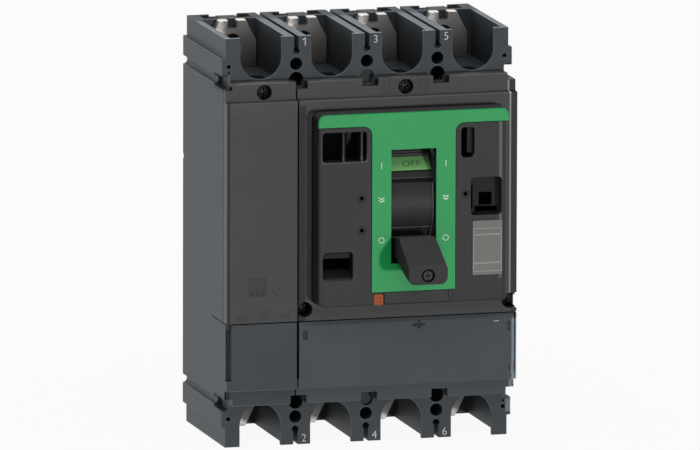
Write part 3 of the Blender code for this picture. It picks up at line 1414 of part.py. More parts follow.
def build_front_panel():
    """Escutcheon and the plates, button and spring it carries."""
    piece("escutcheon", make_escutcheon(), CHARCOAL)
    piece("green_fascia", make_fascia(), GREEN)
    depths = (PANEL_FRONT - PLATE_THICK, PANEL_FRONT)
    piece("label_plate", prism(label_rectangle(0), depths, front_spot), LABEL_GREY)
    piece("id_strip", prism(strip_rectangle(0), depths, front_spot), CHARCOAL)
    button = button_rectangle(0)
    axis = place((button[0][0] + button[1][0]) / 2, PANEL_FRONT, (button[0][1] + button[2][1]) / 2)
    piece("push_button", make_button(), ORANGE, axis)
    piece("button_spring", make_button_spring(), STEEL)


def build_handle():
    """Handle, shield, flags, yoke and springs, all turning about the pivot pin."""
    axis = place(MAIN_X, *PIVOT)
    piece("handle", make_handle(), CHARCOAL, axis)
    piece("handle_end_plug", make_end_plug(), CHARCOAL, axis)
    piece("handle_shield", make_shield(), CHARCOAL, axis)
    piece("off_flag", make_flag(1), GREEN, axis)
    piece("on_flag", make_flag(-1), GREEN, axis)
    piece("handle_yoke", make_yoke(), STEEL, axis)
    reach = DRUM_HALF + LINK_ROOM - GAP
    piece("toggle_pin", cross_rod(toggle_centre(), TOGGLE_R, (MAIN_X - reach, MAIN_X + reach), SMALL), STEEL, axis)
    piece("mainspring_left", make_mainspring(-1), STEEL, axis)
    piece("mainspring_right", make_mainspring(1), STEEL, axis)


def build_mechanism():
    """Fixed frame with the pivot pin, and the links to the contact bar."""
    piece("mechanism_plate_left", make_frame_plate(-1), STEEL)
    piece("mechanism_plate_right", make_frame_plate(1), STEEL)
    reach = frame_offset() + FRAME_PLATE + 2 * GAP
    piece("pivot_pin", cross_rod(PIVOT, PIN_R, (MAIN_X - reach, MAIN_X + reach), ROUND), STEEL)
    axis = place(MAIN_X, *toggle_centre())
    piece("drive_link_left", make_link(-1), STEEL, axis)
    piece("drive_link_right", make_link(1), STEEL, axis)


def build_contact_bar():
    """Rotors, arms and rods that turn together, and the fixed contacts and arc chutes of each pole."""
    axis = place(0, *BAR)
    reach = POLE_X[-1] + DRUM_HALF + LINK_ROOM
    for name, centre in zip(("drive_rod_upper", "drive_rod_lower"), rod_centres()):
        piece(name, cross_rod(centre, ROD_R, (-reach, reach), SMALL), STEEL, axis)
    half = ARM_WIDE / 2
    for x, upper, lower in zip(POLE_X, UPPER_NAMES, LOWER_NAMES):
        piece(f"rotor_{upper}", make_rotor(x), ROTOR_RED, axis)
        piece(f"contact_arm_{upper}", prism(arm_outline(), (x - half, x + half), side_spot), COPPER, axis)
        piece(f"upper_terminal_{upper}", make_upper_terminal(x), TINNED)
        piece(f"lower_terminal_{lower}", make_lower_terminal(x), TINNED)
        piece(f"arc_chute_upper_{upper}", make_arc_chute(x, 1), STEEL)
        piece(f"arc_chute_lower_{lower}", make_arc_chute(x, -1), STEEL)


clear_scene()
build_case_pieces()
build_front_panel()
build_handle()
build_mechanism()
build_contact_bar()
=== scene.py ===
"""Four-pole moulded-case switch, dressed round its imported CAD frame. Metres, +Z up, front towards -Y."""

import json
import math

import bmesh
import bpy
import numpy as np
from mathutils import Matrix, Vector
from mathutils.kdtree import KDTree


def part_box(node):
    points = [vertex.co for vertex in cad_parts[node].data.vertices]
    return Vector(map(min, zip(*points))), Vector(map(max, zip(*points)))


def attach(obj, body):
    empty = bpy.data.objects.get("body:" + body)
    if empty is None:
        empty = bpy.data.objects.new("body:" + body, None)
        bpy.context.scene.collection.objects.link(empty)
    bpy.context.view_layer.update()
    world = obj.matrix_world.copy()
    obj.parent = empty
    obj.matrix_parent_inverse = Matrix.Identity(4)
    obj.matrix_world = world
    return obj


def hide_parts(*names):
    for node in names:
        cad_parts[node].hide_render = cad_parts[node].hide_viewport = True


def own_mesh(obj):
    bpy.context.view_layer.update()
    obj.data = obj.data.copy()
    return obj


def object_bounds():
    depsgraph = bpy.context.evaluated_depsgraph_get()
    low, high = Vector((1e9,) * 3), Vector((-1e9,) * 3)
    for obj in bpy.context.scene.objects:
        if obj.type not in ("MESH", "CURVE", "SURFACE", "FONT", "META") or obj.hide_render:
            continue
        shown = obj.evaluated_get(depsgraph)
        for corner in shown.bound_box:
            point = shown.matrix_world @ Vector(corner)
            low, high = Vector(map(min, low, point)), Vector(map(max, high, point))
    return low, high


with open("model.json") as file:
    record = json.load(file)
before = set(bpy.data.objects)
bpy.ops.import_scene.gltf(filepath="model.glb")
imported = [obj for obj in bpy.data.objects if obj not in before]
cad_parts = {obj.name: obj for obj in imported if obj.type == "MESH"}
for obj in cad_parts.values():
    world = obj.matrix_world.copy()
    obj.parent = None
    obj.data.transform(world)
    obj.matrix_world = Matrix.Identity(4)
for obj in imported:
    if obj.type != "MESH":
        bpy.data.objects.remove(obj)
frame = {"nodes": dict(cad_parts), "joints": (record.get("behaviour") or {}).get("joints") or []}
cad_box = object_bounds()
MM = 0.001


# Case: one deep moulding of glass-filled slate-grey thermoset with open terminal pockets at both ends.
# It is pressed in a spark-eroded tool, so its faces carry a fine even grain and every edge a small radius.
# The rear plate of the same material closes the pole chambers and is the face that meets the panel.
def roundable(sharp, room):
    """Those of the sharp edges that are longer than a room and keep it from every sharp edge they don't meet."""
    ends = np.array([[vert.co[:] for vert in edge.verts] for edge in sharp])
    corners = [{vert.index for vert in edge.verts} for edge in sharp]
    span = ends[:, 1] - ends[:, 0]
    long = np.linalg.norm(span, axis=1)
    count = np.maximum(2, np.ceil(2 * long / room).astype(int) + 1)
    owner = np.repeat(np.arange(len(sharp)), count)
    first = np.repeat(np.cumsum(count) - count, count)
    share = (np.arange(len(owner)) - first) / (count[owner] - 1)
    points = ends[owner, 0] + span[owner] * share[:, None]
    owner = owner.tolist()
    tree = KDTree(len(points))
    for i, point in enumerate(points):
        tree.insert(point, i)
    tree.balance()
    tight = (long < room).tolist()
    for i, point in enumerate(points):
        mine = owner[i]
        if tight[mine]:
            continue
        near = {owner[j] for _, j, _ in tree.find_range(point, room)}
        tight[mine] = any(corners[mine].isdisjoint(corners[other]) for other in near)
    return [edge for edge, narrow in zip(sharp, tight) if not narrow]


def even_normals(mesh, rounded):
    """Corner normals that keep flat faces flat: the mean, by area, of the flat faces near each corner's own face.

    rounded marks the faces that round an edge; they only count where no flat face is near.
    """
    vertex = np.empty(len(mesh.loops), int)
    mesh.loops.foreach_get("vertex_index", vertex)
    sides = np.empty(len(mesh.polygons), int)
    mesh.polygons.foreach_get("loop_total", sides)
    face = np.repeat(np.arange(len(sides)), sides)
    normal = np.empty(3 * len(sides))
    mesh.polygons.foreach_get("normal", normal)
    normal = normal.reshape(-1, 3)
    area = np.empty(len(sides))
    mesh.polygons.foreach_get("area", area)
    order = np.argsort(vertex, kind="stable")
    meeting = np.bincount(vertex, minlength=len(mesh.vertices))
    start = np.cumsum(meeting) - meeting
    repeat = meeting[vertex]
    corner = np.repeat(np.arange(len(vertex)), repeat)
    step = np.arange(len(corner)) - np.repeat(np.cumsum(repeat) - repeat, repeat)
    other = face[order[start[vertex[corner]] + step]]
    own = face[corner]
    turn = (normal[own] * normal[other]).sum(1)
    flat_near, rounded_near = math.cos(math.radians(32)), math.cos(math.radians(62))
    rounded_weight = 1e-4
    near = turn > np.where(rounded[own], rounded_near, flat_near)
    weight = area[other] * near * np.where(rounded[other], rounded_weight, 1)
    mean = np.stack([np.bincount(corner, weight * normal[other, k]) for k in range(3)], 1)
    length = np.linalg.norm(mean, axis=1)[:, None]
    mean /= np.where(length > 0, length, 1)
    mesh.normals_split_custom_set(mean.tolist())


def linked(name, data):
    """A new object of the data, in the scene."""
    piece = bpy.data.objects.new(name, data)
    bpy.context.scene.collection.objects.link(piece)
    return piece


def softened(node, width):
    """Copy of a CAD node, merged, with each edge that turns more than an angle rounded to a width in millimetres."""
    same_point, same_plane, sharp_turn = 2e-6, math.radians(1), math.radians(28)
    room = 2.2 * width * MM
    mesh = frame["nodes"][node].data.copy()
    sheet = bmesh.new()
    sheet.from_mesh(mesh)
    bmesh.ops.remove_doubles(sheet, verts=sheet.verts, dist=same_point)
    bmesh.ops.dissolve_limit(sheet, angle_limit=same_plane, verts=sheet.verts, edges=sheet.edges)
    wide = [face for face in sheet.faces if len(face.verts) > 4]
    bmesh.ops.triangulate(sheet, faces=wide, quad_method="BEAUTY", ngon_method="BEAUTY")
    sheet.verts.index_update()
    mark = sheet.faces.layers.int.new("rounded")
    sharp = [e for e in sheet.edges if len(e.link_faces) == 2 and e.calc_face_angle(0) > sharp_turn]
    edges = bmesh.ops.bevel(
        sheet, geom=roundable(sharp, room), offset=width * MM, offset_type="OFFSET", segments=2, profile=0.5,
        affect="EDGES", clamp_overlap=False, miter_outer="SHARP", loop_slide=False,
    )
    for face in edges["faces"]:
        face[mark] = 1
    sheet.to_mesh(mesh)
    sheet.free()
    mesh.shade_smooth()
    rounded = np.empty(len(mesh.polygons), np.int32)
    mesh.attributes["rounded"].data.foreach_get("value", rounded)
    mesh.attributes.remove(mesh.attributes["rounded"])
    mesh.attributes.new("edge", "FLOAT", "FACE").data.foreach_set("value", rounded.astype(np.float32))
    even_normals(mesh, rounded > 0)
    return linked(node + "_form", mesh)


def fit(piece, material, body, slot, *nodes):
    """Gives a piece its material, the body it moves with and the CAD nodes it stands for; its slot is not used."""
    piece.data.materials.clear()
    piece.data.materials.append(material)
    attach(piece, body)
    if nodes:
        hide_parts(*nodes)
    return piece


def dress(node, width, material, body, slot):
    """Fits a CAD node's softened copy in its place."""
    return fit(softened(node, width), material, body, slot, node)


def finish_nodes(name):
    """A new node material: its tree, its shader and its Object coordinates."""
    material = bpy.data.materials.new(name)
    material.use_nodes = True
    tree = material.node_tree
    shader = tree.nodes["Principled BSDF"]
    coords = tree.nodes.new("ShaderNodeTexCoord").outputs["Object"]
    return material, tree, shader, coords


def add_node(tree, kind, inputs, **settings):
    """Outputs of a new node; each input is joined to the socket it is given, or else takes the value."""
    node = tree.nodes.new("ShaderNode" + kind)
    for field, value in settings.items():
        setattr(node, field, value)
    for key, value in inputs.items():
        if isinstance(value, bpy.types.NodeSocket):
            tree.links.new(value, node.inputs[key])
        else:
            node.inputs[key].default_value = value
    return node.outputs


def noise(tree, coords, scale, detail, rough=0.5):
    """Noise over the Object coordinates, scale in waves per metre."""
    inputs = {"Vector": coords, "Scale": scale, "Detail": detail, "Roughness": rough}
    return add_node(tree, "TexNoise", inputs)["Fac"]


def spread(tree, value, low, high, start=0.3, stop=0.7, smooth=False):
    """Maps a value's range from start to stop onto low to high, straight or with soft ends."""
    inputs = {"Value": value, "From Min": start, "From Max": stop, "To Min": low, "To Max": high}
    return add_node(tree, "MapRange", inputs, interpolation_type="SMOOTHSTEP" if smooth else "LINEAR")["Result"]


def blend_colours(tree, share, first, second):
    """Mix of two colours by a share."""
    return add_node(tree, "Mix", {0: share, 6: (*first, 1), 7: (*second, 1)}, data_type="RGBA")[2]


def calculation(tree, operation, first, second):
    """Result of one operation on two values."""
    return add_node(tree, "Math", {0: first, 1: second}, operation=operation)[0]


def product(tree, first, second):
    """First value times the second."""
    return calculation(tree, "MULTIPLY", first, second)


def relief(tree, shader, height, distance):
    """Bump of a height, distance in millimetres."""
    bump = add_node(tree, "Bump", {"Height": height, "Distance": distance * MM, "Strength": 1.0})
    tree.links.new(bump["Normal"], shader.inputs["Normal"])


def tinted(tree, coords, shade, tints):
    """A colour times the factor of each tint; a tint is a function of the tree and the coordinates."""
    for tint in tints:
        shade = add_node(tree, "VectorMath", {0: shade, "Scale": tint(tree, coords)}, operation="SCALE")[0]
    return shade


def masked(tree, mask, factor):
    """1 where a mask is 0 and a factor where it is 1, in proportion between."""
    return spread(tree, mask, 1, factor, 0, 1)


def painted_edge_highlight(factor):
    """Painted highlight: a tint that is a factor on the rounded edges, where the light catches them, and 1 elsewhere.
    """
    def tint(tree, coords):
        return masked(tree, add_node(tree, "Attribute", {}, attribute_name="edge")["Fac"], factor)
    return tint


def axes_of(tree, coords):
    """The three coordinates, by their letters."""
    return add_node(tree, "SeparateXYZ", {0: coords})


def absolute(tree, coords):
    """Coordinates without their signs, so that one limit stands for both sides."""
    return add_node(tree, "VectorMath", {0: coords}, operation="ABSOLUTE")[0]


def soft_step(tree, value, edge, soft, first, last):
    """Step from a first to a last level, spread over a soft width about an edge, both in millimetres."""
    return spread(tree, value, first, last, (edge - soft / 2) * MM, (edge + soft / 2) * MM, True)


def axis_ramps(tree, coords, zones, soft):
    """Product of soft steps: 1 where each named axis lies between its two limits in millimetres, 0 outside."""
    axes = axes_of(tree, coords)
    inside = None
    for axis, start, stop in zones:
        for edge, first, last in ((start, 0, 1), (stop, 1, 0)):
            ramp = soft_step(tree, axes[axis], edge, soft, first, last)
            inside = ramp if inside is None else product(tree, inside, ramp)
    return inside


def pocket_shade(tree, coords):
    """Tint that darkens the terminal pockets towards their floors, where little light gets."""
    floor, mouth, darkest = 99, 126, 0.55
    deep = spread(tree, axes_of(tree, absolute(tree, coords))["Z"], 1, 0, floor * MM, mouth * MM)
    inside = axis_ramps(tree, coords, (("X", -88.0, 88.0), ("Y", -92.7, -26.0)), 0.4)
    return masked(tree, product(tree, deep, inside), darkest)


def corner_shade(tree, coords):
    """Tint that darkens the grip recesses at the four front corners, which are deep and narrow."""
    grip, darkest = (("X", 88.8, 94.0), ("Y", 79.0, 107.0), ("Z", 94.5, 105.0)), 0.35
    return masked(tree, axis_ramps(tree, absolute(tree, coords), grip, 0.5), darkest)


def end_faces(tree, coords):
    """Tint that lightens the upper end faces, which catch the light from above, and fades out at the back wall."""
    lightest = 4.5
    faces = axis_ramps(tree, coords, (("Z", 127.4, 129.0),), 0.05)
    front = axis_ramps(tree, coords, (("Y", -120.0, -28.0),), 14.0)
    return masked(tree, product(tree, faces, front), lightest)


def zone_tint(zones, soft, factor):
    """Tint that is a factor where each named axis lies between its two limits in millimetres, and 1 outside."""
    def tint(tree, coords):
        return masked(tree, axis_ramps(tree, coords, zones, soft), factor)
    return tint


def box_tint(x, y, z, soft, factor):
    """Tint that is a factor inside a box, given by its two limits on each axis in millimetres, and 1 outside."""
    return zone_tint((("X", *x), ("Y", *y), ("Z", *z)), soft, factor)


def clouded(tree, coords, colour, vary, scale, detail):
    """Colour that varies in clouds by a share to each side, scale in waves per metre."""
    dark = tuple(c * (1 - vary) for c in colour)
    light = tuple(min(1, c * (1 + vary)) for c in colour)
    return blend_colours(tree, spread(tree, noise(tree, coords, scale, detail), 0, 1), dark, light)


def moulded_plastic(name, colour, roughness, grain, deep, vary=0.06, shine=0.15, tints=()):
    """Grained plastic: flow clouds a few centimetres wide in the colour, fine grain in the relief and the gloss."""
    flow_waves, gloss_vary = 28, 0.07
    material, tree, shader, coords = finish_nodes(name)
    shade = clouded(tree, coords, colour, vary, flow_waves, 3)
    tree.links.new(tinted(tree, coords, shade, tints), shader.inputs["Base Color"])
    pits = noise(tree, coords, grain, 2, 0.6)
    gloss = spread(tree, pits, roughness - gloss_vary, roughness + gloss_vary)
    tree.links.new(gloss, shader.inputs["Roughness"])
    shader.inputs["Specular IOR Level"].default_value = shine
    relief(tree, shader, pits, deep)
    return material


# Painted light and shade on the slate: highlights on the rounded edges, and shade in the pockets, the grip recesses
# and the left groove. Painted light on the right rail and on the upper end faces.
left_groove_shade = box_tint((-92.2, -89.4), (-108.2, -98.0), (-112.0, -52.0), 0.3, 0.3)
right_rail_light = box_tint((89.3, 93.0), (-109.0, -95.0), (-113.0, -52.0), 0.3, 3.5)
slate_tints = (painted_edge_highlight(2.4), pocket_shade, corner_shade, left_groove_shade, right_rail_light, end_faces)
slate = moulded_plastic("slate_thermoset", (0.0465, 0.0548, 0.0615), 0.52, 1900, 0.05, tints=slate_tints)
dress("case", 0.3, slate, "case", "case_plastic")
dress("rear_plate", 0.5, slate, "case", "case_plastic")


# Pole numbers: plain figures pad-printed in white on the fronts of the partitions, beside the barrier slots.
# The odd numbers stand at the supply end and the even ones at the load end.
def mesh_points(mesh):
    """Points of a mesh, one a row."""
    points = np.empty(3 * len(mesh.vertices))
    mesh.vertices.foreach_get("co", points)
    return points.reshape(-1, 3)


def lettering(name, word, height, thick):
    """A word in the plain built-in typeface as a mesh: x along the word, z up, y back, about its middle.

    Its outlines are drawn in by a share of the type size, because the typeface is a little heavy.
    """
    draw_in = 0.012
    curve = bpy.data.curves.new(name, "FONT")
    curve.body = word
    curve.extrude = thick / 2
    curve.offset = -draw_in
    holder = linked(name, curve)
    mesh = bpy.data.meshes.new_from_object(holder.evaluated_get(bpy.context.evaluated_depsgraph_get()))
    bpy.data.objects.remove(holder)
    bpy.data.curves.remove(curve)
    points = mesh_points(mesh)
    low, high = points.min(0), points.max(0)
    points[:, :2] -= (low[:2] + high[:2]) / 2
    points[:, :2] *= height / (high[1] - low[1])
    return mesh, np.stack((points[:, 0], -points[:, 2], points[:, 1]), 1)


def printed(name, mesh, points):
    """Object of a mesh whose points are set in millimetres."""
    mesh.vertices.foreach_set("co", (points * MM).ravel())
    mesh.update()
    return linked(name, mesh)


def reach(node):
    """Lowest and highest corner of a CAD node, in millimetres."""
    return tuple(np.array(corner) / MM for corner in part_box(node))


def grid_quads(rows, columns):
    """Corner numbers of the quads of a grid of points whose last column joins its first."""
    corner = np.arange(rows * columns).reshape(rows, columns)
    near, far = corner[:-1], corner[1:]
    return np.stack((near, np.roll(near, -1, 1), np.roll(far, -1, 1), far), -1).reshape(-1, 4)


def capped(rings):
    """Rings of points closed at both ends by the middle of the first and the last ring, each as a ring of its own."""
    first = np.broadcast_to(rings[:1].mean(1, keepdims=True), rings[:1].shape)
    last = np.broadcast_to(rings[-1:].mean(1, keepdims=True), rings[-1:].shape)
    return np.concatenate((first, rings, last))


def skin(name, *grids, crease=35):
    """Object of closed surfaces, each a grid of points in millimetres, a ring a row, with doubled points merged."""
    starts = np.cumsum([0] + [grid.shape[0] * grid.shape[1] for grid in grids])
    points = np.concatenate([grid.reshape(-1, 3) for grid in grids]) * MM
    quads = np.concatenate([grid_quads(*grid.shape[:2]) + start for grid, start in zip(grids, starts)])
    mesh = bpy.data.meshes.new(name)
    mesh.from_pydata(points.tolist(), [], quads.tolist())
    sheet = bmesh.new()
    sheet.from_mesh(mesh)
    same_point = 1e-7
    bmesh.ops.remove_doubles(sheet, verts=sheet.verts, dist=same_point)
    bmesh.ops.recalc_face_normals(sheet, faces=sheet.faces)
    sheet.to_mesh(mesh)
    sheet.free()
    mesh.shade_smooth()
    mesh.set_sharp_from_angle(angle=math.radians(crease))
    return linked(name, mesh)


def stroke(path, width, face, thick):
    """Printed line: a thin rectangle carried along a path of x and z, mitred at its corners, as a grid of rings.

    Each ring stands across the path at half the width to each side; a path that ends where it starts closes.
    """
    path = np.asarray(path, float)
    closed = np.allclose(path[0], path[-1])
    step = np.diff(path, axis=0)
    step /= np.linalg.norm(step, axis=1)[:, None]
    before = np.vstack((step[-1:] if closed else step[:1], step))
    after = np.vstack((step, step[:1] if closed else step[-1:]))
    across = (before + after)[:, ::-1] * (-1, 1)
    across /= np.linalg.norm(across, axis=1)[:, None]
    half = width / 2 / (across * before[:, ::-1] * (-1, 1)).sum(1)[:, None]
    rings = np.empty((len(path), 4, 3))
    for k, (side, y) in enumerate(((1, face), (-1, face), (-1, face - thick), (1, face - thick))):
        rings[:, k, ::2] = path + across * half * side
        rings[:, k, 1] = y
    return rings if closed else capped(rings)


figure_height, figure_line, ink_thick = 4.7, 0.5, 0.08
figure_beside, figure_in = 5.4, 3.9
partition_front, pole_pitch = 95.5, 45.0
stem = np.array(((-1.3, 0.26), (0.25, 0.5), (0.25, -0.5))) * (1, figure_height)
case_low, case_high = reach("case")
white_ink = moulded_plastic("white_ink", (0.64, 0.66, 0.68), 0.6, 3000, 0.01, 0.04)
for figures, level in (("135", case_high[2] - figure_in), ("246", case_low[2] + figure_in)):
    for column, figure in zip((-1, 0, 1), figures):
        middle = np.array((column * pole_pitch + figure_beside, -partition_front - ink_thick / 2, level))
        if figure == "1":
            piece = skin("pole_figure_1", stroke(stem + middle[::2], figure_line, -partition_front, ink_thick))
        else:
            mesh, points = lettering("figure_" + figure, figure, figure_height, ink_thick)
            piece = printed("pole_figure_" + figure, mesh, points + middle)
        fit(piece, white_ink, "case", "case_plastic")


# Contact bar: four drums of red-brown thermoset, each with a copper arm through it, tied by two steel rods.
# The drums are moulded, the arms forged and silver-faced, the rods ground.
rotor_red = moulded_plastic("rotor_thermoset", (0.26, 0.07, 0.045), 0.6, 1500, 0.05, 0.12)


def worked_metal(name, colour, roughness, grain, stretch, vary=0.08, tints=()):
    """Metal with drawn lines: noise stretched along one axis in the gloss and a low relief, clouds in the colour."""
    cloud_waves, line_deep = 60, 0.02
    material, tree, shader, coords = finish_nodes(name)
    drawn = add_node(tree, "Mapping", {"Vector": coords, "Scale": stretch})["Vector"]
    lines = noise(tree, drawn, grain, 3, 0.6)
    shade = clouded(tree, coords, colour, vary, cloud_waves, 2)
    tree.links.new(tinted(tree, coords, shade, tints), shader.inputs["Base Color"])
    tree.links.new(spread(tree, lines, roughness - 0.08, roughness + 0.1), shader.inputs["Roughness"])
    shader.inputs["Metallic"].default_value = 1
    relief(tree, shader, lines, line_deep)
    return material


copper = worked_metal("forged_copper", (0.72, 0.36, 0.22), 0.36, 900, (1, 0.1, 0.1))
zinc_steel = worked_metal("zinc_plated_steel", (0.55, 0.56, 0.56), 0.34, 1400, (1, 0.2, 0.2))


def coat(node, material):
    """A CAD node that keeps its shape gets its material."""
    mesh = frame["nodes"][node].data
    mesh.materials.clear()
    mesh.materials.append(material)


upper_poles, lower_poles = ("n", "1", "3", "5"), ("n", "2", "4", "6")
for pole in upper_poles:
    coat("rotor_" + pole, rotor_red)
    coat("contact_arm_" + pole, copper)
for node in ("drive_rod_upper", "drive_rod_lower"):
    coat(node, zinc_steel)


# Terminals: flat copper bars, tin plated, pierced for the cable bolt and notched at the tip.
# They are sawn from drawn bar and held by the case, with their pads in the open pockets.
def pad_painted_light(tree, coords):
    """Painted light and shade on the pads by height: a highlight at the cut tip, shade towards the pocket's floor, a
    reflection of the pale floor at the foot.
    """
    height = axes_of(tree, coords)["Z"]
    fall = spread(tree, height, 0.3, 1.0, 95 * MM, 120 * MM)
    tip = spread(tree, height, 1.0, 2.6, 126.7 * MM, 127.1 * MM)
    foot = spread(tree, height, 3.1, 1.0, -100 * MM, -95 * MM)
    return product(tree, product(tree, fall, tip), foot)


slit_half, slit_depth, slit_floor = 2.75, (-32.0, -18.0), (122.0, 123.2)
pole_x = [column * pole_pitch for column in (-1.5, -0.5, 0.5, 1.5)]
# Painted shade on the floor of each pad's notch.
slit_shades = tuple(box_tint((x - slit_half, x + slit_half), slit_depth, slit_floor, 0.2, 0.3) for x in pole_x)
tinned = worked_metal("tinned_copper", (0.29, 0.278, 0.266), 0.52, 700, (0.25, 1, 1), tints=(pad_painted_light, *slit_shades))
pole_ends = [("upper", pole) for pole in upper_poles] + [("lower", pole) for pole in lower_poles]
for end, pole in pole_ends:
    node = f"{end}_terminal_{pole}"
    dress(node, 0.5, tinned, "case", "tinned_copper")


# Arc chutes: stacks of coppered steel plates in fibre cheeks, one beside each break of the contacts.
# They are pressed together and slid into the pole chambers from behind.
chute_steel = worked_metal("coppered_chute_steel", (0.5, 0.42, 0.36), 0.45, 500, (0.3, 1, 1), 0.15)
for end, pole in pole_ends:
    coat(f"arc_chute_{end}_{pole}", chute_steel)


# Mechanism: two punched steel side plates carry the handle's axle; the fork in the handle and the links drive
# the contact bar. The plates, the fork and the links are zinc plated, the pins turned and ground.
for node in (
    "mechanism_plate_left", "mechanism_plate_right", "pivot_pin", "toggle_pin", "handle_yoke", "drive_link_left",
    "drive_link_right",
):
    coat(node, zinc_steel)


# Springs: the two mainsprings between the fork and the toggle pin, and the return spring of the push button.
# Each is wound from round spring-steel wire, with its last turns laid flat, and held by its ends.
def helix(start, finish, radius, wire, turns):
    """Wire tube: a circle carried along a helix about the line from start to finish, one turn for each unit of turns.

    Ring i stands at the angle 2 pi times turns times i over the count; its circle lies in the plane of the outward
    direction and the axis.
    """
    turn_steps, wire_sides = 28, 10
    along = (finish - start) / np.linalg.norm(finish - start)
    across = np.cross(along, (1.0, 0.0, 0.0))
    across /= np.linalg.norm(across)
    aside = np.cross(along, across)
    share = np.linspace(0, 1, turns * turn_steps + 1)[:, None, None]
    angle = 2 * np.pi * turns * share
    out = across * np.cos(angle) + aside * np.sin(angle)
    around = np.linspace(0, 2 * np.pi, wire_sides, endpoint=False)[None, :, None]
    middle = start + (finish - start) * share + out * radius
    return capped(middle + wire * (out * np.cos(around) + along * np.sin(around)))


def spring_ends(node, wire):
    """Middles of the first and the last turn of a CAD spring: its points split about its long axis."""
    points = mesh_points(frame["nodes"][node].data) / MM
    middle = points.mean(0)
    along = np.linalg.svd(points - middle, full_matrices=False)[2][0]
    place = (points - middle) @ along
    return middle + along * (place.min() + wire), middle + along * (place.max() - wire)


wire_r = 0.55
spring_turns = 5
spring_steel = worked_metal("spring_steel", (0.42, 0.42, 0.43), 0.32, 2200, (1, 1, 0.3))
for node, coil_r, body in (
    ("mainspring_left", 2.7, "handle"), ("mainspring_right", 2.7, "handle"), ("button_spring", 2.0, "case"),
):
    low_end, high_end = spring_ends(node, wire_r)
    coil = skin(node + "_wire", helix(low_end, high_end, coil_r, wire_r, spring_turns))
    fit(coil, spring_steel, body, "steel", node)
spring_long = np.ptp([corner[1] for corner in reach("button_spring")])
spring_foot = (0, reach("button_spring")[1][1] * MM, 0)
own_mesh(coil)


# Lower blocks: blank slate-grey mouldings that fill the front below the covers, one wide and one for the neutral
# pole. They are hollow shells of the same grained thermoset, hooked over the partitions and flush with the covers.
def circle_path(x, z, radius, steps=40):
    """Closed path round a point of x and z."""
    angle = np.linspace(0, 2 * np.pi, steps + 1)
    return np.stack((x + radius * np.cos(angle), z + radius * np.sin(angle)), 1)


# Painted shade on the block's faces that are sunk behind its front.
sunk_shade = box_tint((-47.0, 88.9), (-108.1, -100.0), (-86.0, -50.5), 0.3, 0.4)
block_tints = (painted_edge_highlight(1.5), sunk_shade, right_rail_light)
block_slate = moulded_plastic("slate_block", (0.056, 0.066, 0.074), 0.5, 1900, 0.05, tints=block_tints)
dress("neutral_lower_block", 0.4, slate, "case", "case_plastic")
dress("lower_front_block", 0.4, block_slate, "case", "case_plastic")
block_front = reach("lower_front_block")[0][1]
dark_ink = moulded_plastic("dark_slate_ink", (0.014, 0.016, 0.018), 0.5, 1900, 0.01, 0.04)
ring_x, ring_z, ring_r, ring_line = 30.0, -54.0, 1.9, 0.35
ring = stroke(circle_path(ring_x, ring_z, ring_r), ring_line, block_front, ink_thick)
fit(skin("cross_ring", ring), dark_ink, "case", "case_plastic")
dash_from, dash_to, dash_line = (77.8, -53.5), (81.2, -53.5), 0.4
dash = stroke((dash_from, dash_to), dash_line, block_front, ink_thick)
fit(skin("edge_dash", dash), white_ink, "case", "case_plastic")


# Covers: thin smoked polycarbonate over the neutral pole and over the three phase poles, clear enough that the ribs
# and the fittings close behind them show as faint shapes. They are moulded with a polished face and screwed down.
def patch(left, right, low, high, soft, factor):
    """Tint that is a factor inside a rectangle of x and z in millimetres and fades to 1 over a soft edge."""
    return zone_tint((("X", left, right), ("Z", low, high)), soft, factor)


def round_patch(x, z, inner, outer, soft, factor, ahead=None):
    """Tint that is a factor between two radii about a point of x and z, and ahead of a depth if one is given.

    An inner radius below 0 makes it a full disc.
    """
    def tint(tree, coords):
        flat = add_node(tree, "VectorMath", {0: coords, 1: (1, 0, 1)}, operation="MULTIPLY")[0]
        gap = add_node(tree, "VectorMath", {0: flat, 1: (x * MM, 0, z * MM)}, operation="DISTANCE")["Value"]
        beyond = soft_step(tree, gap, inner, soft, 0, 1)
        within = soft_step(tree, gap, outer, soft, 1, 0)
        where = product(tree, beyond, within)
        if ahead is not None:
            where = product(tree, where, soft_step(tree, axes_of(tree, coords)["Y"], ahead, soft, 1, 0))
        return masked(tree, where, factor)
    return tint


full_disc = -1
well_r = 4.6
screw_nodes = ["cover_screw_" + number for number in "1234"]
screw_places = [sum(reach(node)) / 2 for node in screw_nodes]
# Painted shade in the screw wells.
screw_well_shades = tuple(round_patch(x, z, full_disc, well_r, 0.6, 0.35) for x, _, z in screw_places)
# Besides the faint shapes behind the plastic, these tints paint highlights along the cover's edges and lines, and
# shade in the gap at its left edge.
neutral_shapes_and_painted_light = screw_well_shades + (
    painted_edge_highlight(1.6),
    patch(-78.9, -66.8, -32.0, -19.7, 0.8, 0.72),
    *(patch(left, left + 2.3, -31.4, -28.2, 0.6, 0.65) for left in (-77.3, -74.0, -70.7)),
    round_patch(-59.1, -27.1, 3.2, 4.5, 0.8, 0.76),
    round_patch(-59.1, -27.1, full_disc, 1.3, 0.8, 0.7),
    patch(-85.5, -79.4, -46.5, -43.2, 0.8, 0.74),
    patch(-71.2, -65.7, -45.8, -40.4, 0.8, 0.8),
    patch(-58.8, -52.0, -46.2, -42.5, 0.8, 0.74),
    patch(-90.0, -48.0, -38.6, -37.4, 0.8, 1.12),
    patch(-90.0, -48.0, 82.5, 88.4, 1.0, 1.12),
    patch(-90.5, -46.0, 88.5, 89.5, 0.4, 1.5),
    patch(-86.0, -52.0, 99.8, 101.0, 0.3, 2.2),
    patch(-93.0, -91.8, -48.0, 100.0, 0.3, 1.2),
    patch(-91.9, -90.4, -48.0, 89.0, 0.3, 0.12),
)
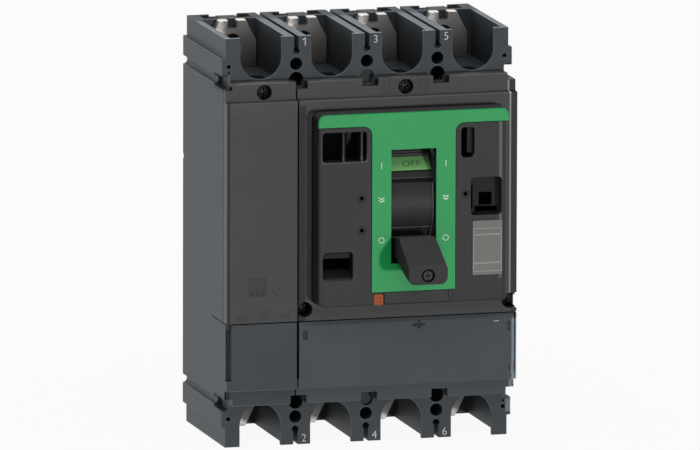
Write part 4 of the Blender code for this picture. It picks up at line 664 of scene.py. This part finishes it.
# Besides the faint shapes behind the plastic, these tints paint highlights along the cover's edges and lines, and
# light that lifts the escutcheon's cast shadow on its left.
main_shapes_and_painted_light = screw_well_shades + (
    painted_edge_highlight(1.6),
    patch(-47.0, -42.4, -49.0, 86.0, 1.2, 0.2),
    patch(-44.2, -43.0, -46.0, 80.0, 0.8, 1.15),
    patch(-41.4, -37.0, -38.0, 81.0, 0.6, 1.6),
    patch(6.0, 38.0, 90.0, 101.0, 0.8, 0.82),
    *(patch(*rib, 90.0, 101.0, 0.5, 0.75) for rib in ((8.2, 9.4), (11.6, 12.6), (31.0, 32.0), (35.0, 36.2))),
    patch(-45.0, 91.0, 88.5, 89.5, 0.4, 1.6),
    patch(-44.0, 90.0, 99.8, 101.0, 0.3, 1.6),
    patch(87.5, 88.4, -40.0, 96.0, 0.3, 6.5),
    patch(88.8, 94.0, -48.0, 96.0, 0.6, 0.3),
    patch(-46.0, 90.0, -45.0, -41.0, 2.5, 0.85),
)
smoke = (0.046, 0.046, 0.046)
neutral_smoke = moulded_plastic("smoked_neutral_cover", smoke, 0.34, 2600, 0.03, 0.05, 0.07, neutral_shapes_and_painted_light)
main_smoke = moulded_plastic("smoked_main_cover", smoke, 0.34, 2600, 0.03, 0.05, 0.07, main_shapes_and_painted_light)
dress("neutral_cover", 0.4, neutral_smoke, "case", "smoked_plastic")
dress("main_cover", 0.4, main_smoke, "case", "smoked_plastic")


# Escutcheon: the raised charcoal polyamide panel with its windows, sight holes and the slot of the handle.
# It is moulded with collars behind the windows, where hardly any light gets, and clipped into the main cover.
def depth_shade(low, high, rim, fade, factor, within=True):
    """Painted shade or light: a tint that goes to a factor over a fade behind a box's front, within a rim at its
    sides or else only on it.
    """
    edge_clear = 0.4

    def tint(tree, coords):
        front = low[1] + edge_clear
        deep = spread(tree, axes_of(tree, coords)["Y"], 0, 1, front * MM, (front + fade) * MM, True)
        zones = (("X", low[0] + rim, high[0] - rim), ("Z", low[2] + rim, high[2] - rim))
        inside = axis_ramps(tree, coords, zones, 0.4)
        where = inside if within else masked(tree, inside, 0)
        return masked(tree, product(tree, deep, where), factor)
    return tint


panel_low, panel_high = reach("escutcheon")
panel_rim, panel_fade = 4.5, 2.6
sight_holes = ((-10.4, 29.2), (-10.4, 9.2), (55.6, 29.3))
# Painted light and shade on the escutcheon: shade deep in the windows and collars, on its left side and round the
# sight holes. Painted light on its outer sides and in the lower parts of two windows, and a highlight along its right
# fillet.
panel_shades = (
    painted_edge_highlight(1.3),
    depth_shade(panel_low, panel_high, panel_rim, panel_fade, 0.25),
    depth_shade(panel_low, panel_high, panel_rim, panel_fade, 1.25, False),
    patch(-42.0, -37.5, -36.0, 80.0, 1.2, 0.25),
    patch(-36.0, -7.0, 51.6, 56.0, 0.6, 2.2),
    patch(52.7, 61.3, 52.4, 54.5, 0.5, 3.5),
    patch(76.9, 78.9, -24.0, 74.0, 0.8, 3.4),
    *(round_patch(x, z, full_disc, 2.8, 2.0, 0.45) for x, z in sight_holes),
)
charcoal = moulded_plastic("charcoal_polyamide", (0.037, 0.037, 0.0375), 0.5, 2400, 0.04, 0.06, 0.12, panel_shades)
dress("escutcheon", 0.3, charcoal, "case", "charcoal_plastic")


# Fascia: the green T-shaped plate of polycarbonate on the escutcheon, round the slot of the handle.
# It is moulded with a fine matt face and snapped on; the position marks are printed on it in white.
green = moulded_plastic("green_polycarbonate", (0.005, 0.305, 0.074), 0.42, 2600, 0.02, 0.03, 0.2)
dress("green_fascia", 0.15, green, "case", "green_plastic")
fascia_front = reach("green_fascia")[0][1]
mark_half = 1.7
bar_low, bar_high, bar_line = 47.2, 51.0, 0.36
arrow_places, arrow_rise, arrow_line = (26.6, 28.2), 1.1, 0.46
nought_z, nought_line = 2.75, 0.3
marks = []
for x in (1.95, 42.9):
    marks.append(stroke(((x, bar_low), (x, bar_high)), bar_line, fascia_front, ink_thick))
    for z in arrow_places:
        arrow = ((x - mark_half, z + arrow_rise), (x, z), (x + mark_half, z + arrow_rise))
        marks.append(stroke(arrow, arrow_line, fascia_front, ink_thick))
    marks.append(stroke(circle_path(x, nought_z, mark_half), nought_line, fascia_front, ink_thick))
bright_ink = moulded_plastic("position_mark_ink", (0.93, 0.98, 0.95), 0.6, 3000, 0.01, 0.02)
fit(skin("position_marks", *marks), bright_ink, "case", "green_plastic")


# Rating plate and marking strip: a film label in the lower right of the escutcheon and a plain strip under the
# fascia. The label is printed with fine ruled boxes; the strip is moulded with a notch to lift it out.
label_film = moulded_plastic("label_film", (0.18, 0.18, 0.165), 0.5, 3000, 0.01, 0.02)
dress("label_plate", 0.1, label_film, "case", "label")
label_low, label_high = reach("label_plate")
rules = []
rule_in, rule_line = 0.7, 0.3
left, right = label_low[0] + rule_in, label_high[0] - rule_in
for top, low in ((4.9, 8.5), (9.1, 26.2), (26.8, 31.6)):
    high, foot = label_high[2] - top, label_high[2] - low
    corners = ((left, high), (right, high), (right, foot), (left, foot), (left, high))
    rules.append(stroke(corners, rule_line, label_low[1], ink_thick))
rule_ink = moulded_plastic("label_rule_ink", (0.4, 0.4, 0.38), 0.6, 3000, 0.01, 0.04)
fit(skin("label_rules", *rules), rule_ink, "case", "label")

strip_low, strip_high = reach("id_strip")
notch_in, notch_wide, notch_deep = 2.6, 0.9, 1.2
notch = strip_high[0] - notch_in + notch_wide * np.array((-1, -0.5, 0.5, 1))
along = np.concatenate((strip_low[:1], notch, strip_high[:1]))
front = strip_low[1] + notch_deep * np.array((0, 0, 1, 1, 0, 0))
strip = np.empty((len(along), 4, 3))
strip[..., 0] = along[:, None]
strip[:, :2, 1] = front[:, None]
strip[:, 2:, 1] = strip_high[1]
strip[..., 2] = (strip_low[2], strip_high[2], strip_high[2], strip_low[2])
strip_grey = moulded_plastic("strip_polyamide", (0.034, 0.034, 0.036), 0.5, 2400, 0.03)
fit(skin("marking_strip", capped(strip)), strip_grey, "case", "charcoal_plastic", "id_strip")


# Push button: a square orange plunger of polyamide in the foot of the escutcheon, with a shallow dish for the tip
# of a driver. It is moulded in one piece with its long stem and slides back against its spring.
def rounded_sections(half, height, top_r, low_r, corner_steps, side_steps):
    """Rounded rectangles, one for each entry of the size arrays: x from -half to half, t down from 0 to the height.

    Each is four quarter arcs, with points at even shares of the straight stretch between each arc and the next.
    """
    turn = np.linspace(0, np.pi / 2, corner_steps)
    arcs = []
    for quarter, side, radius, middle in (
        (0, 1, top_r, top_r), (1, -1, top_r, top_r), (2, -1, low_r, height - low_r), (3, 1, low_r, height - low_r),
    ):
        angle = turn + quarter * np.pi / 2
        x = (side * (half - radius))[:, None] + radius[:, None] * np.cos(angle)
        t = middle[:, None] - radius[:, None] * np.sin(angle)
        arcs.append(np.stack((x, t), -1))
    share = np.linspace(0, 1, side_steps + 2)[None, 1:-1, None]
    rings = []
    for first, second in zip(arcs, arcs[1:] + arcs[:1]):
        rings += [first, first[:, -1:] * (1 - share) + second[:, :1] * share]
    return np.concatenate(rings, 1)


button_low, button_high = reach("push_button")
button_half = (button_high[0] - button_low[0]) / 2
edge_r, dish_in, dish_slope, dish_deep = 0.5, 1.5, 0.3, 0.6
corner_most, corner_least = 0.7, 0.3
bend = np.linspace(0, np.pi / 2, 5)
inset = np.concatenate(([0], edge_r * (1 - np.cos(bend)), [dish_in, dish_in + dish_slope]))
depth = np.concatenate(([button_high[1] - button_low[1]], edge_r * (1 - np.sin(bend)), [0, dish_deep]))
corner_r = np.maximum(corner_most - inset / 2, corner_least)
tall = button_high[2] - button_low[2]
rings = rounded_sections(button_half - inset, tall - 2 * inset, corner_r, corner_r, 5, 2)
plunger = np.empty(rings.shape[:2] + (3,))
plunger[..., 0] = rings[..., 0] + (button_low[0] + button_high[0]) / 2
plunger[..., 1] = button_low[1] + depth[:, None]
plunger[..., 2] = button_high[2] - inset[:, None] - rings[..., 1]
orange = moulded_plastic("orange_polyamide", (0.35, 0.084, 0.021), 0.45, 2600, 0.03)
fit(skin("push_button_plunger", capped(plunger)), orange, "push_button", "orange_plastic", "push_button")


# Handle: a moulded lever of charcoal polyamide with a grained face and soft edges, wider at its tip.
# Its tongue goes through the curved shield to the fork, and a plug closes the round recess in its end.
hinge = next(joint for joint in frame["joints"] if joint["name"] == "handle_hinge")
pivot = np.array(hinge["pos_m"]) / MM
tongue_tilt = math.radians(-40)
root_r = 36.3
shoulder = np.array((47.5, -17.9))
tip_top, tip_low = np.array((74.74, -31.9)), np.array((73.7, -43.6))
root_top, root_low = (np.array((math.sqrt(root_r ** 2 - up ** 2), up)) for up in (-20.6, -27.0))
half_root, half_tip = 11.4, 12.5
bore_r, bore_drop, bore_deep, bore_slack = 4.2, -37.7, 3.0, 0.3
bore_x, bore_z = pivot[0], pivot[2] + bore_drop


def at_handle(x, out, up):
    """Points from x, distance out and height up, each counted from the handle's axis, in millimetres."""
    return np.stack(np.broadcast_arrays(pivot[0] + x, pivot[1] - out, pivot[2] + up), -1)


def lever_grid():
    """The lever as rings: rounded rectangles between its top line and underside, carried from the shield to the tip.

    The top line runs over the shoulder; near the tip each ring draws in by a quarter circle, then the rings cross the
    end face to the round recess, go down its wall and close on its floor.
    """
    edge, edge_draw, low_back = 0.9, 0.4, 0.7
    root_corner, top_grow, low_grow = 1.3, 1.2, 2.9
    bend = np.linspace(0, np.pi / 2, 7)
    neck = np.array((0, 0.25, 0.5, 0.75, 0.9, 1.0))
    blade = np.array((0.04, 0.1, 0.25, 0.4, 0.6, 0.8))
    neck_span, blade_span = shoulder - root_top, tip_top - shoulder
    top = np.concatenate((root_top + np.outer(neck, neck_span), shoulder + np.outer(blade, blade_span)))
    run = np.concatenate((neck * neck_span[0], neck_span[0] + blade * blade_span[0]))
    share = run / (tip_top - root_top)[0]
    low = root_low + np.outer(share, tip_low - root_low)
    back = edge * (1 - np.sin(bend)) / np.linalg.norm(blade_span)
    top = np.concatenate((top, shoulder + np.outer(1 - back, blade_span)))
    low = np.concatenate((low, tip_low + np.outer(back * low_back, root_low - tip_low)))
    share = np.concatenate((share, np.ones(len(bend))))
    draw = np.concatenate((np.zeros(len(run)), edge * (1 - np.cos(bend))))
    down = low - top
    tall = np.linalg.norm(down, axis=1)
    down /= tall[:, None]
    half = half_root + (half_tip - half_root) * share
    corner = root_corner + top_grow * share ** 4 - draw * edge_draw
    foot = root_corner + low_grow * share ** 4 - draw * edge_draw
    rings = rounded_sections(half - draw, tall - 2 * draw, corner, foot, 8, 14)
    side = rings[..., 0]
    middle = top + down * draw[:, None]
    place = middle[:, None] + down[:, None] * rings[..., 1:]
    place[0] *= root_r / np.linalg.norm(place[0], axis=1)[:, None]
    body = at_handle(side, place[..., 0], place[..., 1])
    face = place[-1]
    angle = np.arctan2(face[:, 1] - bore_drop, side[-1])
    lean = (tip_top - tip_low)[0] / (tip_top - tip_low)[1]
    wall_r = np.array((bore_r + 0.15, bore_r + 0.05, bore_r, bore_r))
    wall_in = np.array((0, 0.05, 0.2, bore_deep))
    up = bore_drop + wall_r[:, None] * np.sin(angle)
    out = tip_top[0] + (up - tip_top[1]) * lean - wall_in[:, None]
    out[-1] = tip_top[0] - bore_deep
    wall = at_handle(wall_r[:, None] * np.cos(angle), out, up)
    between = body[-1:] * 0.5 + wall[:1] * 0.5
    return capped(np.concatenate((body, between, wall)))


def tongue_grid():
    """The tongue behind the lever: a rounded rectangle carried along the lever's middle line, through the shield."""
    half, thick, corner_r = 5.0, 5.2, 0.6
    out = np.array((28.7, 29.0, root_r + 1.0))
    draw = np.array((0.3, 0.0, 0.0))
    corner = np.full(len(out), corner_r)
    rings = rounded_sections(half - draw, thick - 2 * draw, corner, corner, 4, 2)
    across = thick / 2 - draw[:, None] - rings[..., 1]
    turned_out = out[:, None] * math.cos(tongue_tilt) - across * math.sin(tongue_tilt)
    turned_up = out[:, None] * math.sin(tongue_tilt) + across * math.cos(tongue_tilt)
    return capped(at_handle(rings[..., 0], turned_out, turned_up))


def from_axis(tree, coords):
    """Coordinates counted from the handle's axis: x, distance out and height up, as at_handle takes them."""
    shift = (-pivot[0] * MM, pivot[1] * MM, -pivot[2] * MM)
    return add_node(tree, "Mapping", {"Vector": coords, "Location": shift, "Scale": (1, -1, 1)})["Vector"]


def painted_side_shade(tree, coords):
    """Painted shade: a tint that darkens the lever's two sides, beyond a half width that grows outwards."""
    darkest = 0.3
    axes = axes_of(tree, absolute(tree, from_axis(tree, coords)))
    wide = spread(tree, axes["Y"], half_root * MM, half_tip * MM, root_top[0] * MM, tip_top[0] * MM)
    past = calculation(tree, "SUBTRACT", axes["X"], wide)
    return spread(tree, past, 1, darkest, -0.5 * MM, -0.05 * MM, True)


# Painted shade on the lever: its two sides and the round recess in its end.
bore_end = pivot[1] - tip_top[0] + bore_deep + bore_slack
lever_painted_shade = (painted_side_shade, round_patch(bore_x, bore_z, full_disc, bore_r, 0.15, 0.15, bore_end))
lever_black = moulded_plastic("lever_polyamide", (0.052, 0.0515, 0.052), 0.6, 1500, 0.09, 0.05, 0.05, lever_painted_shade)
fit(skin("handle_lever", lever_grid(), tongue_grid(), crease=50), lever_black, "handle", "charcoal_plastic", "handle")


def angle_band(start, stop, soft, factor):
    """Tint that is a factor between two angles about the handle's axis, in degrees up from straight ahead."""
    def tint(tree, coords):
        axes = axes_of(tree, from_axis(tree, coords))
        angle = calculation(tree, "ARCTAN2", axes["Z"], axes["Y"])
        edges = [math.radians(edge) for edge in (start - soft, start, stop, stop + soft)]
        rise = spread(tree, angle, 0, 1, edges[0], edges[1], True)
        fall = spread(tree, angle, 1, 0, edges[2], edges[3], True)
        return masked(tree, product(tree, rise, fall), factor)
    return tint


# Painted light and shade on the shield: highlights on its rounded edges, on the edge above the neck and on its right
# edge, shade in the slit, and light below the neck's edge.
shield_painted_light = (
    painted_edge_highlight(4.0),
    angle_band(22.0, 25.3, 0.2, 0.12),
    angle_band(-24.6, -23.4, 0.3, 5.0),
    angle_band(-36.5, -24.8, 0.3, 1.6),
    patch(35.7, 37.0, -2.0, 37.0, 0.2, 8.0),
)
shield_black = moulded_plastic("shield_polyamide", (0.0215, 0.0215, 0.022), 0.45, 2400, 0.03, tints=shield_painted_light)
dress("handle_shield", 0.3, shield_black, "handle", "charcoal_plastic")


def guide_grid():
    """The ribbed lip behind the slot's upper edge, close over the shield: its curved section carried along x.

    The section's outer line is a radius with five ribs, each a raised cosine of the angle, squared; its inner line
    is plain, and its ends draw in a little.
    """
    ribs, rib_high, outer_r, inner_r = 5, 0.45, 37.9, 37.3
    half, end, end_draw = 13.8, 0.2, 0.1
    angle = np.radians(np.linspace(49.6, 66.0, 61))
    share = np.linspace(0, 1, len(angle))
    outer = outer_r + rib_high * (0.5 - 0.5 * np.cos(2 * np.pi * ribs * share)) ** 2
    radius = np.concatenate((outer, np.full(len(angle), inner_r)))
    turn = np.concatenate((angle, angle[::-1]))
    side = np.array((-half, end - half, half - end, half))[:, None]
    draw = np.array((end_draw, 0, 0, end_draw))[:, None]
    middle = (radius.max() + radius.min()) / 2
    reach_out = radius - draw * np.sign(radius - middle)
    return capped(at_handle(side, reach_out * np.cos(turn), reach_out * np.sin(turn)))


guide_grey = moulded_plastic("slot_guide_polyamide", (0.1, 0.097, 0.094), 0.55, 2400, 0.03)
fit(skin("slot_guide", guide_grid(), crease=40), guide_grey, "case", "charcoal_plastic")


# Screws: the cover's four pan-head screws in their wells and the plug in the lever's end.
# The screws are cold-headed of blackened steel with a cross recess and rolled threads; the plug is moulded to match.
def cross_recess(x, z, arm_long, arm_wide, deep):
    """Depth of a cross recess at points of x and z: two crossed bars, at full depth a slope inside their outline."""
    slope = 0.3
    first = np.maximum(np.abs(x) - arm_long, np.abs(z) - arm_wide)
    second = np.maximum(np.abs(z) - arm_long, np.abs(x) - arm_wide)
    return deep * np.clip(-np.minimum(first, second) / slope, 0, 1)


def screw_grid(head_r, head_high, shank_r, shank_long, dome):
    """A screw along y from its seat: its profile of radius and height turned about the axis.

    The head's dome falls with the square of the radius and carries the cross recess; the shank's radius ripples
    with the angle and the height so that the thread climbs one pitch a turn.
    """
    crown_share, foot_share = 0.86, 0.97
    arm_long, arm_wide, recess_deep = 0.62 * head_r, 0.18 * head_r, 0.6 * head_high
    angle = np.linspace(0, 2 * np.pi, 72, endpoint=False)
    crown = np.linspace(0.02, crown_share, 24) * head_r
    bend = np.linspace(0.15, np.pi / 2, 6)
    rim = (1 - crown_share) * head_r
    radius = np.concatenate((crown, head_r - rim + rim * np.sin(bend), [head_r * foot_share]))
    brow = head_high - dome * crown_share ** 2
    height = np.concatenate((head_high - dome * (crown / head_r) ** 2, brow - rim + rim * np.cos(bend), [0]))
    flat_x, flat_z = radius[:, None] * np.cos(angle), radius[:, None] * np.sin(angle)
    top = height[:, None] - cross_recess(flat_x, flat_z, arm_long, arm_wide, recess_deep)
    head = np.stack((flat_x, -top, flat_z), -1)
    if shank_long == 0:
        return capped(head)
    pitch, groove = 0.7, 0.16
    fall = np.linspace(0, shank_long, 64)[:, None]
    ripple = 0.5 - 0.5 * np.cos(2 * np.pi * fall / pitch + angle)
    shank = shank_r - groove * ripple
    body = np.stack((shank * np.cos(angle), np.broadcast_to(fall, shank.shape), shank * np.sin(angle)), -1)
    return capped(np.concatenate((head, body)))


black_steel = worked_metal("blackened_steel", (0.018, 0.018, 0.019), 0.42, 1600, (1, 1, 1))
seat_in, head_r, shank_r, head_dome = 3.0, 3.6, 1.5, 0.7
for node, (x, _, z) in zip(screw_nodes, screw_places):
    low, high = reach(node)
    seat = low[1] + seat_in
    screw = skin(node + "_cross", screw_grid(head_r, seat_in, shank_r, high[1] - seat, head_dome) + (x, seat, z))
    fit(screw, black_steel, "case", "steel", node)

plug_low, plug_high = reach("handle_end_plug")
plug_r, plug_dome, plug_seat, plug_sunk = 3.0, 0.4, 0.2, 0.5
plug_high_in = plug_high[1] - plug_low[1] - plug_sunk
plug_place = (bore_x, plug_high[1] - plug_seat, bore_z)
plug = skin("handle_end_screw", screw_grid(plug_r, plug_high_in, 0, 0, plug_dome) + plug_place)
# Painted shade in the plug's cross recess.
plug_cross_shade = tuple(
    patch(bore_x - half_x, bore_x + half_x, bore_z - half_z, bore_z + half_z, 0.2, 0.3)
    for half_x, half_z in ((1.9, 0.5), (0.5, 1.9))
)
plug_black = moulded_plastic("plug_polyamide", (0.06, 0.06, 0.061), 0.5, 1500, 0.05, tints=plug_cross_shade)
fit(plug, plug_black, "handle", "charcoal_plastic", "handle_end_plug")


# Position flags: two green plates on the shield, printed OFF and ON, of which the slot shows one at a time.
# They are moulded with a thin rim and glued down; the words are printed in dark green.
# The flags' rounded rims carry a painted highlight.
flag_green = moulded_plastic("flag_polycarbonate", (0.23, 0.56, 0.2), 0.4, 2600, 0.02, 0.03, tints=(painted_edge_highlight(1.7),))
flag_ink = moulded_plastic("flag_ink", (0.012, 0.09, 0.03), 0.5, 3000, 0.01, 0.04)
flag_wide = 1.035
to_axis = Matrix.Translation((pivot[0] * MM, 0, 0))
widen = to_axis @ Matrix.Scale(flag_wide, 4, (1, 0, 0)) @ to_axis.inverted()
word_height, word_wide, word_across, word_drop = 3.9, 1.22, 1.7, 0.5
for node, word in (("off_flag", "OFF"), ("on_flag", "ON")):
    flag = dress(node, 0.15, flag_green, "handle", "green_plastic")
    flag.data.transform(widen)
    points = mesh_points(frame["nodes"][node].data) / MM - pivot
    face_r = np.hypot(points[:, 1], points[:, 2]).max()
    angles = np.arctan2(points[:, 2], -points[:, 1])
    middle = (angles.min() + angles.max()) / 2
    mesh, points = lettering(word + "_word", word, word_height, ink_thick)
    turn = middle + (points[:, 2] - word_drop) / face_r
    radius = face_r - points[:, 1]
    word_points = at_handle(points[:, 0] * word_wide + word_across, radius * np.cos(turn), radius * np.sin(turn))
    fit(printed(node + "_word", mesh, word_points), flag_ink, "handle", "green_plastic")


# Studio: a plain pale floor under the object, four soft lamps and an even surround.
# The camera stands at the photograph's angle, far enough away that the sides stay parallel.
def seen_straight(tree):
    """1 for what the camera or a reflection sees, 0 for the light that falls on things."""
    path = add_node(tree, "LightPath", {})
    return calculation(tree, "MAXIMUM", path["Is Camera Ray"], path["Is Glossy Ray"])


def studio_floor(height):
    """Flat floor at a height in metres, nearly white to the camera and in reflections, with a faint shadow."""
    half, white_share = 6.0, 0.93
    mesh = bpy.data.meshes.new("studio_floor")
    corners = [(-half, -half, height), (half, -half, height), (half, half, height), (-half, half, height)]
    mesh.from_pydata(corners, [], [(0, 1, 2, 3)])
    floor = linked("studio_floor", mesh)
    material, tree, shader, _ = finish_nodes("pale_floor")
    shader.inputs["Base Color"].default_value = (0.75, 0.75, 0.75, 1)
    shader.inputs["Roughness"].default_value = 0.9
    shader.inputs["Specular IOR Level"].default_value = 0
    glow = add_node(tree, "Emission", {"Color": (1, 1, 1, 1)})["Emission"]
    share = spread(tree, seen_straight(tree), 0, white_share, 0, 1)
    mix = add_node(tree, "MixShader", {0: share, 1: shader.outputs["BSDF"], 2: glow})[0]
    tree.links.new(mix, tree.nodes["Material Output"].inputs["Surface"])
    mesh.materials.append(material)
    floor.visible_shadow = False


def lamp(name, towards, level, soft):
    """Sun lamp that shines from a direction; at level 1 a white face turned to it renders white."""
    light = bpy.data.lights.new(name, "SUN")
    light.energy = level * math.pi
    light.angle = math.radians(soft)
    linked(name, light).rotation_euler = (-Vector(towards)).to_track_quat("-Z", "Y").to_euler()


def surround(level):
    """Even white world: a level for the light it gives, full white where the camera or a reflection sees it."""
    world = bpy.data.worlds.new("surround")
    bpy.context.scene.world = world
    world.use_nodes = True
    tree = world.node_tree
    backdrop = tree.nodes["Background"]
    backdrop.inputs["Color"].default_value = (1, 1, 1, 1)
    tree.links.new(spread(tree, seen_straight(tree), level, 1, 0, 1), backdrop.inputs["Strength"])


studio_floor(cad_box[0][2])
lamp("front_lamp", (0.27, -0.955, -0.11), 0.33, 4)
lamp("left_lamp", (-0.93, 0.3, -0.1), 0.48, 40)
lamp("top_lamp", (-0.1, -0.42, 0.9), 0.36, 50)
lamp("low_lamp", (-0.45, -0.55, -0.7), 0.22, 60)
surround(0.25)

turn, tip, roll = math.radians(-15.369), math.radians(10.072), math.radians(0.168)
level_right = np.array([math.cos(turn), math.sin(turn), 0])
back = np.array([math.sin(turn) * math.cos(tip), -math.cos(turn) * math.cos(tip), math.sin(tip)])
level_up = np.cross(back, level_right)
right = level_right * math.cos(roll) + level_up * math.sin(roll)
up = -level_right * math.sin(roll) + level_up * math.cos(roll)
aim_middle, aim_right, aim_up = np.array([0, -55.85, 0]), 0.336, 0.89
aim = (aim_middle + right * aim_right + up * aim_up) * MM
lens, sensor = 900, 36
picture_width, pixels_per_mm = 700, 1.62
frame_width = picture_width / pixels_per_mm * MM
camera_data = bpy.data.cameras.new("camera")
camera_data.sensor_fit = "HORIZONTAL"
camera_data.sensor_width = sensor
camera_data.lens = lens
camera_data.clip_start = 1.0
camera_data.clip_end = 100
camera = linked("camera", camera_data)
axes = Matrix((right, up, back)).transposed()
camera.matrix_world = Matrix.Translation(Vector(aim + back * lens * frame_width / sensor)) @ axes.to_4x4()
bpy.context.scene.camera = camera
bpy.context.scene.view_settings.view_transform = "Standard"
